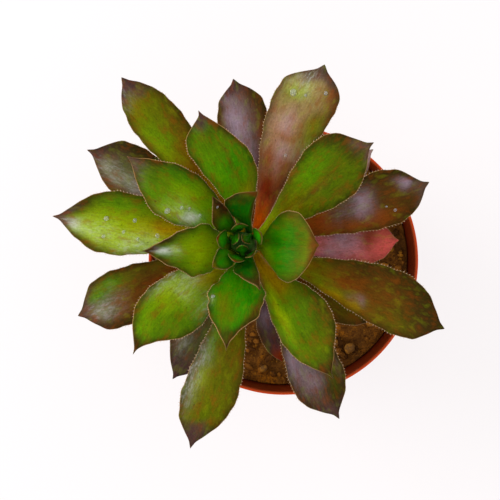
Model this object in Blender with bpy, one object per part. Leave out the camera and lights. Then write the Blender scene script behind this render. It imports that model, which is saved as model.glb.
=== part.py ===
"""A potted rosette succulent: a round thin-walled pot of soil and grit, and a leaning stem that carries
a rosette of spoon-shaped leaves.

Sizes are in millimetres and angles in degrees, and MM turns them into metres. The origin is the centre
of the pot's flat base, and +Z is up. Leaf azimuths are counted from +X towards +Y.
"""

import math
from collections import namedtuple

import bmesh
import bpy
import numpy as np
from mathutils import Matrix, Vector

MM = 0.001
GAP = 0.3  # clearance between pieces that touch

# Pot
RIM_DIAMETER = 105.0
BASE_DIAMETER = 73.0
POT_HEIGHT = 92.0
WALL = 1.4
FLOOR = 2.0
BAND_HEIGHT = 16.0  # the stiffening band below the rim
BAND_STEP = 1.6  # how far the band stands out of the wall
BAND_FLARE = 1.5  # how far the band leans out over its height
FOOT_CHAMFER = 1.0
LIP = ((0.15, 0.2), (0.5, 0.0), (0.85, 0.2))  # its rounding: in from the outside and down, per wall
HOLE_COUNT = 6
HOLE_SIDES = 16
HOLE_DIAMETER = 8.0
HOLE_RING = 48.0  # diameter of the circle that the drainage holes lie on
POT_STEPS = 60

# Soil and grit
HEADSPACE = 12.0  # from the rim down to the soil
SOIL_SWELL = 0.8  # how far the soil rises and falls
SOIL_WAVES = (9.0, 11.0, 7.0)  # how far apart its rises are, along X, along Y and aslant
SOIL_RINGS = 6
GRIT_DEPTH = 0.8  # a stone's depth, as a share of its width
GRIT_LUMP = 0.16  # how far its surface stands in and out, as a share of its size
GRIT_WAVES = (0.9, 1.3)  # how fast the lumps follow each other, along the stone and up it, per mm
GRIT_PHASE = 2.1  # the shift of the lumps from one stone to the next
GRIT_TURN = 1.7  # the turn from one stone to the next

# Stem
STEM_HEIGHT = 66.0  # from the soil to the top pair of leaves
STEM_FOOT = Vector((-5.0, 2.0))  # where it leaves the soil
STEM_LEAN = Vector((-11.0, 4.5))  # how far its top stands from its foot
STEM_FOOT_RADIUS = 5.5
STEM_TOP_RADIUS = 3.8
STEM_ROOT = 30.0  # length below the soil
STEM_CROWN = 3.0  # the cone above the top pair of leaves
STEM_CROWN_RADIUS = 1.4
STEM_SIDES = 14
STEM_RINGS = 7

# Leaves
LEAF_STATIONS = (0.0, 0.06, 0.15, 0.27, 0.4, 0.53, 0.65, 0.75, 0.84, 0.91, 0.96)
LEAF_ACROSS = (1.0, 0.55, 0.0, -0.55, -1.0)  # left margin, top of the blade, right margin
POINT_WIDTH = 0.55  # half-width of the short spike at the tip
POINT_LENGTH = 0.06  # its share of the leaf's length
FOOT_THICKNESS = 1.25  # at the foot, as a share of the blade's
FOOT_LENGTH = 0.4  # the share of the length over which it falls to the blade's
TIP_THINNING = 0.75  # the share of the thickness that is lost by the tip
ARCH_SKEW = 0.75  # below 1, the arch is highest nearer the foot
MARGIN_FALL = 0.7  # how the thickness falls from the middle to the margins

SOIL_TOP = POT_HEIGHT - HEADSPACE
STEM_TOP = SOIL_TOP + STEM_HEIGHT

# One side of a blade: its half-width, the share of the length where it is widest, and how fast it
# narrows from there to the tip.
Side = namedtuple("Side", "width place point")
# azimuth and reach place the tip; bow bends the leaf to its left; drop lowers the leaf in its rank;
# roll turns it about its length.
Leaf = namedtuple("Leaf", "azimuth reach left right bow drop roll", defaults=(0.0, 0.0, 0.0))
# below is the distance from the stem's top pair of leaves down to the foot; rise is from foot to tip.
Rank = namedtuple("Rank", "name below rise arch cup foot thickness colour leaves")

RANKS = (
    Rank("lower_leaf", 31.5, -1.0, 2.0, 1.5, 2.2, 2.4, (0.09, 0.05, 0.045), (
        Leaf(-71, 47.5, Side(6.5, 0.68, 1.1), Side(6.0, 0.66, 0.8), -1.0, 2.0),
        Leaf(-117, 57.0, Side(9.5, 0.67, 1.1), Side(10.0, 0.66, 1.2), -0.5, -1.5),
        Leaf(1, 58.5, Side(9.5, 0.70, 1.0), Side(9.0, 0.75, 1.0), 1.5, -1.5),
        Leaf(-30, 58.0, Side(8.5, 0.70, 1.0), Side(8.5, 0.70, 1.0), 0.0, 0.5),
        Leaf(35.5, 60.5, Side(9.0, 0.70, 1.0), Side(7.5, 0.70, 1.2), 0.0, 1.0),
        Leaf(110, 44.0, Side(7.5, 0.68, 1.0), Side(7.5, 0.70, 1.0)),
        Leaf(164, 50.0, Side(8.0, 0.70, 1.0), Side(8.5, 0.68, 1.0)),
        Leaf(-147, 45.0, Side(8.0, 0.70, 1.0), Side(7.5, 0.70, 1.0), 0.0, 1.5),
    )),
    Rank("outer_leaf", 25.5, 5.5, 2.5, 1.5, 2.2, 2.4, (0.10, 0.06, 0.05), (
        Leaf(-61, 73.5, Side(8.0, 0.77, 1.55), Side(12.5, 0.75, 1.2), 2.5),
        Leaf(93, 60.0, Side(8.4, 0.76, 1.15), Side(10.0, 0.80, 1.05), -1.0),
        Leaf(149, 66.0, Side(10.0, 0.73, 1.5), Side(10.0, 0.78, 1.25), -1.5),
        Leaf(-156, 65.5, Side(11.0, 0.77, 1.05), Side(10.0, 0.79, 1.15), -1.5),
        Leaf(18, 72.0, Side(9.5, 0.77, 1.5), Side(11.5, 0.74, 1.0), 1.5),
    )),
    Rank("middle_leaf", 19.7, 12.7, 3.0, 1.5, 2.2, 2.4, (0.14, 0.14, 0.03), (
        Leaf(-23, 78.5, Side(12.6, 0.72, 1.1), Side(9.5, 0.79, 1.15), 0.5),
        Leaf(-104, 75.5, Side(11.0, 0.70, 1.25), Side(9.0, 0.76, 1.15), 0.0),
        Leaf(126, 73.0, Side(9.6, 0.73, 0.9), Side(8.2, 0.73, 0.9), -1.5, 1.5),
        Leaf(172, 68.0, Side(12.3, 0.70, 1.35), Side(10.8, 0.70, 1.4), -2.0, -0.4),
        Leaf(65, 70.0, Side(11.0, 0.81, 1.35), Side(11.8, 0.80, 1.0), 3.0),
    )),
    Rank("inner_leaf", 14.0, 21.0, 4.0, 1.5, 2.2, 2.4, (0.10, 0.20, 0.02), (
        Leaf(-56, 57.0, Side(13.5, 0.60, 1.4), Side(7.5, 0.68, 1.4), -1.0),
        Leaf(37, 57.5, Side(13.0, 0.77, 1.35), Side(10.5, 0.70, 1.6), 1.0),
        Leaf(-134, 54.0, Side(14.0, 0.58, 1.95), Side(9.0, 0.74, 1.35), -5.0),
        Leaf(108, 48.0, Side(11.0, 0.78, 1.6), Side(9.0, 0.53, 1.25), -3.5, -0.6),
        Leaf(143, 50.0, Side(12.5, 0.60, 1.3), Side(7.5, 0.56, 1.2), -2.0, 2.6),
    )),
    Rank("upper_leaf", 8.4, 25.4, 4.0, 1.5, 2.0, 2.2, (0.07, 0.20, 0.02), (
        Leaf(-98, 37.3, Side(10.0, 0.52, 2.1), Side(9.8, 0.58, 1.5)),
        Leaf(-2, 26.5, Side(12.0, 0.68, 1.1), Side(13.0, 0.68, 1.1)),
        Leaf(-175, 34.0, Side(10.0, 0.47, 1.35), Side(8.0, 0.38, 1.3)),
    )),
    Rank("heart_leaf", 4.0, 26.0, 1.0, 1.2, 1.5, 1.8, (0.03, 0.14, 0.02), (
        Leaf(72, 18.0, Side(9.0, 0.70, 0.8), Side(1.5, 0.50, 1.2), 1.6, 2.2),
        Leaf(122, 18.4, Side(5.0, 0.45, 1.5), Side(2.5, 0.55, 1.0), 0.5, 0.0),
        Leaf(-68, 17.5, Side(2.0, 0.50, 1.0), Side(6.2, 0.36, 1.9), -0.5),
        Leaf(-139, 13.0, Side(3.5, 0.60, 1.1), Side(4.2, 0.55, 1.1), 0.0, 2.0),
    )),
    Rank("core_leaf", 0.6, 15.5, 0.0, 0.8, 1.1, 1.2, (0.04, 0.16, 0.02), (
        Leaf(170, 8.5, Side(3.4, 0.55, 1.0), Side(3.4, 0.55, 1.0)),
        Leaf(97, 6.5, Side(3.0, 0.55, 1.0), Side(3.0, 0.55, 1.0)),
        Leaf(-108, 7.0, Side(3.0, 0.55, 1.0), Side(3.2, 0.55, 1.0)),
        Leaf(-49, 6.0, Side(2.6, 0.55, 1.0), Side(2.6, 0.55, 1.0)),
        Leaf(24, 7.5, Side(3.0, 0.60, 0.9), Side(3.4, 0.60, 0.9), 0.0, -0.6),
    )),
    Rank("bud_leaf", -1.8, 8.5, -0.6, 0.5, 0.8, 1.1, (0.06, 0.18, 0.03), (
        Leaf(35, 0.6, Side(2.2, 0.45, 0.9), Side(2.2, 0.45, 0.9)),
        Leaf(150, 1.2, Side(2.3, 0.45, 0.9), Side(2.3, 0.45, 0.9), 0.0, -0.4),
        Leaf(-80, 0.9, Side(2.2, 0.45, 0.9), Side(2.2, 0.45, 0.9), 0.0, 0.3),
    )),
)

# Grit on the soil: azimuth, distance in from the pot's wall, width, and how flat it is.
GRIT = (
    (-53, 6.0, 5.0, 0.7),
    (-36, 7.0, 4.2, 0.6),
    (-58, 11.5, 3.6, 0.8),
    (-4, 10.0, 4.8, 0.6),
    (-80, 8.0, 4.0, 0.7),
    (-20, 15.0, 3.2, 0.8),
    (-100, 6.0, 3.4, 0.7),
    (20, 6.5, 4.4, 0.6),
    (75, 8.0, 4.6, 0.7),
    (120, 12.0, 3.8, 0.8),
    (165, 7.0, 4.4, 0.6),
    (-150, 9.0, 4.8, 0.7),
)


def clear_scene():
    for obj in list(bpy.data.objects):
        bpy.data.objects.remove(obj, do_unlink=True)


def material(name, colour, roughness):
    made = bpy.data.materials.new(name)
    made.use_nodes = True
    shader = made.node_tree.nodes["Principled BSDF"]
    shader.inputs["Base Color"].default_value = (*colour, 1.0)
    shader.inputs["Roughness"].default_value = roughness
    shader.inputs["Metallic"].default_value = 0.0
    return made


def finish(name, shape, parent, colour, roughness=0.5, sharp=40.0):
    """Closes a bmesh into a smooth-shaded object under its parent."""
    bmesh.ops.recalc_face_normals(shape, faces=shape.faces[:])
    mesh = bpy.data.meshes.new(name)
    shape.to_mesh(mesh)
    shape.free()
    mesh.shade_smooth()
    mesh.set_sharp_from_angle(angle=math.radians(sharp))
    mesh.materials.append(material(name, colour, roughness))
    obj = bpy.data.objects.new(name, mesh)
    bpy.context.scene.collection.objects.link(obj)
    obj.parent = parent
    return obj


def cutter(name, shape, parent):
    obj = finish(name, shape, parent, (0.5, 0.5, 0.5))
    obj.hide_render = True
    obj.display_type = "WIRE"
    return obj


def cut(obj, tool):
    boolean = obj.modifiers.new(tool.name, "BOOLEAN")
    boolean.operation = "DIFFERENCE"
    boolean.solver = "EXACT"
    boolean.object = tool


def turned(profile, steps):
    """A solid turned about Z from (radius, height) points that start and end on the axis."""
    shape = bmesh.new()
    points = [shape.verts.new((r * MM, 0.0, z * MM)) for r, z in profile]
    edges = [shape.edges.new(pair) for pair in zip(points, points[1:])]
    bmesh.ops.spin(
        shape, geom=points + edges, axis=(0, 0, 1), cent=(0, 0, 0), angle=2 * math.pi, steps=steps
    )
    bmesh.ops.remove_doubles(shape, verts=shape.verts[:], dist=0.01 * MM)
    return shape


# ---------------------------------------------------------------- pot


def pot_outside():
    """(radius, height) points up the outside of the pot."""
    rim = RIM_DIAMETER / 2
    base = BASE_DIAMETER / 2
    band_foot = POT_HEIGHT - BAND_HEIGHT
    band = rim - BAND_FLARE
    return [
        (base - FOOT_CHAMFER, 0.0),
        (base, FOOT_CHAMFER),
        (band - BAND_STEP, band_foot - WALL / 2),
        (band, band_foot + WALL / 2),
        (rim, POT_HEIGHT - WALL / 2),
    ]


def pot_inside():
    """(radius, height) points up the inside of the pot, a wall's thickness in from its outside."""
    chamfer, base, neck, band, rim = pot_outside()
    return [
        (base[0] - WALL - FOOT_CHAMFER, FLOOR),
        (base[0] - WALL, FLOOR + FOOT_CHAMFER),
        (neck[0] - WALL, neck[1]),
        (band[0] - WALL, band[1]),
        (rim[0] - WALL, rim[1]),
    ]


def inside_radius(height):
    radii, heights = zip(*pot_inside())
    return float(np.interp(height, heights, radii))


def build_pot(parent):
    rounding = [(RIM_DIAMETER / 2 - inward * WALL, POT_HEIGHT - down * WALL) for inward, down in LIP]
    profile = [(0.0, 0.0), *pot_outside(), *rounding, *reversed(pot_inside()), (0.0, FLOOR)]
    pot = finish("pot", turned(profile, POT_STEPS), parent, (0.56, 0.13, 0.04), 0.35, 30.0)
    holes = bmesh.new()
    for i in range(HOLE_COUNT):
        turn = Matrix.Rotation(2 * math.pi * i / HOLE_COUNT, 4, "Z")
        place = turn @ Matrix.Translation((HOLE_RING / 2 * MM, 0, 0))
        bmesh.ops.create_cone(
            holes,
            cap_ends=True,
            segments=HOLE_SIDES,
            radius1=HOLE_DIAMETER / 2 * MM,
            radius2=HOLE_DIAMETER / 2 * MM,
            depth=4 * FLOOR * MM,
            matrix=place,
        )
    cut(pot, cutter("drainage_cutter", holes, parent))


# ---------------------------------------------------------------- stem


def stem_centre(height):
    share = (height - SOIL_TOP) / STEM_HEIGHT
    return STEM_FOOT + STEM_LEAN * share


def stem_radius(height):
    heights = (SOIL_TOP, STEM_TOP, STEM_TOP + STEM_CROWN)
    return float(np.interp(height, heights, (STEM_FOOT_RADIUS, STEM_TOP_RADIUS, STEM_CROWN_RADIUS)))


def stem_shape(extra, stations):
    """The stem from level ring to level ring, grown by extra all round."""
    shape = bmesh.new()
    rings = []
    for height in stations:
        x, y = stem_centre(height)
        radius = stem_radius(height) + extra
        angles = [2 * math.pi * i / STEM_SIDES for i in range(STEM_SIDES)]
        ring = [
            shape.verts.new(Vector((x + radius * math.cos(a), y + radius * math.sin(a), height)) * MM)
            for a in angles
        ]
        rings.append(ring)
    for lower, upper in zip(rings, rings[1:]):
        for i in range(STEM_SIDES):
            j = (i + 1) % STEM_SIDES
            shape.faces.new((lower[i], lower[j], upper[j], upper[i]))
    shape.faces.new(rings[0][::-1])
    shape.faces.new(rings[-1])
    return shape


def build_stem(parent):
    foot = SOIL_TOP - STEM_ROOT
    stations = [foot, *np.linspace(SOIL_TOP, STEM_TOP, STEM_RINGS), STEM_TOP + STEM_CROWN]
    finish("stem", stem_shape(0.0, stations), parent, (0.13, 0.10, 0.03), 0.7)


# ---------------------------------------------------------------- soil and grit


def soil_height(x, y):
    along_x, along_y, aslant = SOIL_WAVES
    broad = math.sin(x / along_x) * math.cos(y / along_y)
    swell = (2 * broad + math.sin((x + 2 * y) / aslant)) / 3
    return SOIL_TOP + SOIL_SWELL * swell


def build_soil(parent):
    below = [point for point in pot_inside() if point[1] < SOIL_TOP - SOIL_SWELL]
    side = [(radius - GAP, max(height, FLOOR + GAP)) for radius, height in below]
    top = inside_radius(SOIL_TOP - SOIL_SWELL) - GAP
    rings = [(top * i / SOIL_RINGS, SOIL_TOP) for i in range(SOIL_RINGS, -1, -1)]
    profile = [(0.0, FLOOR + GAP), *side, *rings]
    shape = turned(profile, POT_STEPS)
    for vert in shape.verts:
        if abs(vert.co.z - SOIL_TOP * MM) < 0.01 * MM:
            vert.co.z = soil_height(vert.co.x / MM, vert.co.y / MM) * MM
    soil = finish("soil", shape, parent, (0.09, 0.045, 0.02), 0.9, 60.0)
    foot = SOIL_TOP - STEM_ROOT - GAP
    hole = stem_shape(GAP, [foot, SOIL_TOP, SOIL_TOP + 4 * SOIL_SWELL])
    cut(soil, cutter("stem_cutter", hole, parent))


def build_grit(parent):
    for number, (azimuth, inset, width, flatness) in enumerate(GRIT, 1):
        angle = math.radians(azimuth)
        radius = inside_radius(SOIL_TOP) - inset
        x, y = radius * math.cos(angle), radius * math.sin(angle)
        half = width / 2
        shape = bmesh.new()
        bmesh.ops.create_icosphere(shape, subdivisions=2, radius=half * MM)
        for vert in shape.verts:
            along, up = vert.co.x / MM * GRIT_WAVES[0], vert.co.z / MM * GRIT_WAVES[1]
            vert.co *= 1.0 + GRIT_LUMP * math.sin(GRIT_PHASE * number + along + up)
        bmesh.ops.scale(shape, vec=(1.0, GRIT_DEPTH, flatness), verts=shape.verts)
        lowest = -min(vert.co.z for vert in shape.verts) / MM
        around = [(x + half * dx, y + half * dy) for dx in (-1, 0, 1) for dy in (-1, 0, 1)]
        ground = max(soil_height(*point) for point in around)
        stone = finish(f"grit_{number:02d}", shape, parent, (0.50, 0.33, 0.16), 0.8)
        stone.location = Vector((x, y, ground + GAP + lowest)) * MM
        stone.rotation_euler = (0.0, 0.0, GRIT_TURN * number)


# ---------------------------------------------------------------- leaves


def half_width(share, side, foot):
    """Half-width at a share of the length: a narrow foot, a spoon, and a short spike at the tip."""
    if share < side.place:
        grown = math.sin(math.pi / 2 * share / side.place) ** 2
        return foot + (side.width - foot) * grown
    narrowed = math.cos(math.pi / 2 * (share - side.place) / (1 - side.place)) ** side.point
    spike = POINT_WIDTH * min((1 - share) / POINT_LENGTH, 1.0)
    return max(side.width * narrowed, spike)


def thickness(share, rank):
    """Thickness along the middle: thick at the foot, even over the blade and thin at the tip."""
    foot = FOOT_THICKNESS * rank.thickness
    middle = np.interp(share, (0.0, FOOT_LENGTH), (foot, rank.thickness))
    return float(middle) * (1.0 - TIP_THINNING * share**5)


def leaf_frame(rank, leaf):
    """(foot point, length, axes): X along the leaf, Y to its left and Z out of its upper face."""
    height = STEM_TOP - rank.below - leaf.drop
    angle = math.radians(leaf.azimuth)
    out = Vector((math.cos(angle), math.sin(angle), 0.0))
    top = stem_centre(STEM_TOP)
    tip = Vector((top.x, top.y, height + rank.rise)) + out * leaf.reach
    steep = math.atan2(rank.rise, leaf.reach - stem_radius(height))
    clear = stem_radius(height) + 2 * GAP + FOOT_THICKNESS / 2 * rank.thickness * abs(math.sin(steep))
    centre = stem_centre(height)
    foot = Vector((centre.x, centre.y, height)) + out * clear
    along = (tip - foot).normalized()
    left = Vector((0, 0, 1)).cross(along).normalized()
    axes = Matrix((along, left, along.cross(left))).transposed()
    turn = Matrix.Rotation(math.radians(leaf.roll), 3, "X")
    return foot, (tip - foot).length, axes @ turn


def leaf_shape(rank, leaf, length):
    """Level sections along X, each with a knife-edged margin at both ends and three points between."""
    shape = bmesh.new()
    widest = max(leaf.left.width, leaf.right.width)
    rings = []
    for share in LEAF_STATIONS:
        bow = leaf.bow * math.sin(math.pi * share)
        arch = rank.arch * math.sin(math.pi * share**ARCH_SKEW)
        middle = thickness(share, rank) / 2
        upper = []
        lower = []
        for across in LEAF_ACROSS:
            side = leaf.left if across > 0 else leaf.right
            y = across * half_width(share, side, rank.foot)
            z = arch + rank.cup * (y / widest) ** 2
            bulge = middle * (1 - across**2) ** MARGIN_FALL
            upper.append(Vector((share * length, bow + y, z + bulge)) * MM)
            lower.append(Vector((share * length, bow + y, z - bulge)) * MM)
        rings.append([shape.verts.new(point) for point in upper + lower[-2:0:-1]])
    for near, far in zip(rings, rings[1:]):
        for i in range(len(near)):
            j = (i + 1) % len(near)
            shape.faces.new((near[i], near[j], far[j], far[i]))
    shape.faces.new(rings[0])
    tip = shape.verts.new((length * MM, 0.0, 0.0))
    last = rings[-1]
    for i in range(len(last)):
        shape.faces.new((last[i], last[(i + 1) % len(last)], tip))
    return shape


def build_leaves(parent):
    for rank in RANKS:
        for number, leaf in enumerate(rank.leaves, 1):
            foot, length, axes = leaf_frame(rank, leaf)
            shape = leaf_shape(rank, leaf, length)
            obj = finish(f"{rank.name}_{number}", shape, parent, rank.colour, 0.45, 60.0)
            obj.matrix_local = Matrix.Translation(foot * MM) @ axes.to_4x4()


def main():
    clear_scene()
    plant = bpy.data.objects.new("potted_succulent", None)
    bpy.context.scene.collection.objects.link(plant)
    build_pot(plant)
    build_soil(plant)
    build_grit(plant)
    build_stem(plant)
    build_leaves(plant)


main()
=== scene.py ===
"""Finishes and a small studio for a potted rosette succulent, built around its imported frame.

Lengths in the tables and settings are in millimetres where their names say so; meshes are made in metres.
A leaf's own coordinates are along, from 0 at its foot to 1 at its tip, and across, from 1 at its left
margin to -1 at its right margin, as seen from above with the tip pointing away.
"""

import math
from collections import namedtuple
from itertools import product

import bmesh
import bpy
import numpy as np
from bpy.props import FloatProperty, FloatVectorProperty, IntProperty, PointerProperty
from mathutils import Matrix, Vector, noise
from mathutils.bvhtree import BVHTree


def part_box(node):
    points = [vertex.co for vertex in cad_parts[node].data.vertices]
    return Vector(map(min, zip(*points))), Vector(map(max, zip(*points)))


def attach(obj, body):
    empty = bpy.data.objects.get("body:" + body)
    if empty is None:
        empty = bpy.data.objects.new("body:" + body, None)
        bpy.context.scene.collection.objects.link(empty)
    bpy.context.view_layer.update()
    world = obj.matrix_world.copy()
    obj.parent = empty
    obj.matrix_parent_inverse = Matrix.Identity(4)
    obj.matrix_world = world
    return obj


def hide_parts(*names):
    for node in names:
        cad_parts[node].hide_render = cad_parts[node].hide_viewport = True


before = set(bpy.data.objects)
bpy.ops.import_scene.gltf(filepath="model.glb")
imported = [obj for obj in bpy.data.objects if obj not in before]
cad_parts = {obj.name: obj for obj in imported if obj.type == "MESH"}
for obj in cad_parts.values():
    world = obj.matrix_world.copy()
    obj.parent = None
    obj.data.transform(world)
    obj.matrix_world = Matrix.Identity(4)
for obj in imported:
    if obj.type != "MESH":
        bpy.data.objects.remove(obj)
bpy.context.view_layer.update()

bl_info = {
    "name": "Potted Succulent",
    "version": (1, 0, 0),
    "blender": (4, 5, 0),
    "location": "3D View > Sidebar > Succulent",
    "description": "Gives the packed potted succulent its leaves, soil, pot finish and studio",
    "category": "Add Mesh",
}

MM = 0.001
BODY = "root"
GOLDEN_ANGLE = math.radians(137.5)

# ---------------------------------------------------------------- what grows on each leaf

# A soft patch of colour on a leaf: where its middle is, how far it reaches, and how strong it is.
Touch = namedtuple("Touch", "colour along across length width strength")
# foot, blade and tip are colours, and touches lie over them in turn; piping is how pale the margin line
# is, band how dark the blade is along it, and wave how much it waves.
Look = namedtuple("Look", "foot blade tip touches piping band wave")


def look(foot, blade, tip, *touches, piping=0.5, band=0.7, wave=1.0):
    return Look(foot, blade, tip, [Touch(*t) for t in touches], piping, band, wave)


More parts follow.
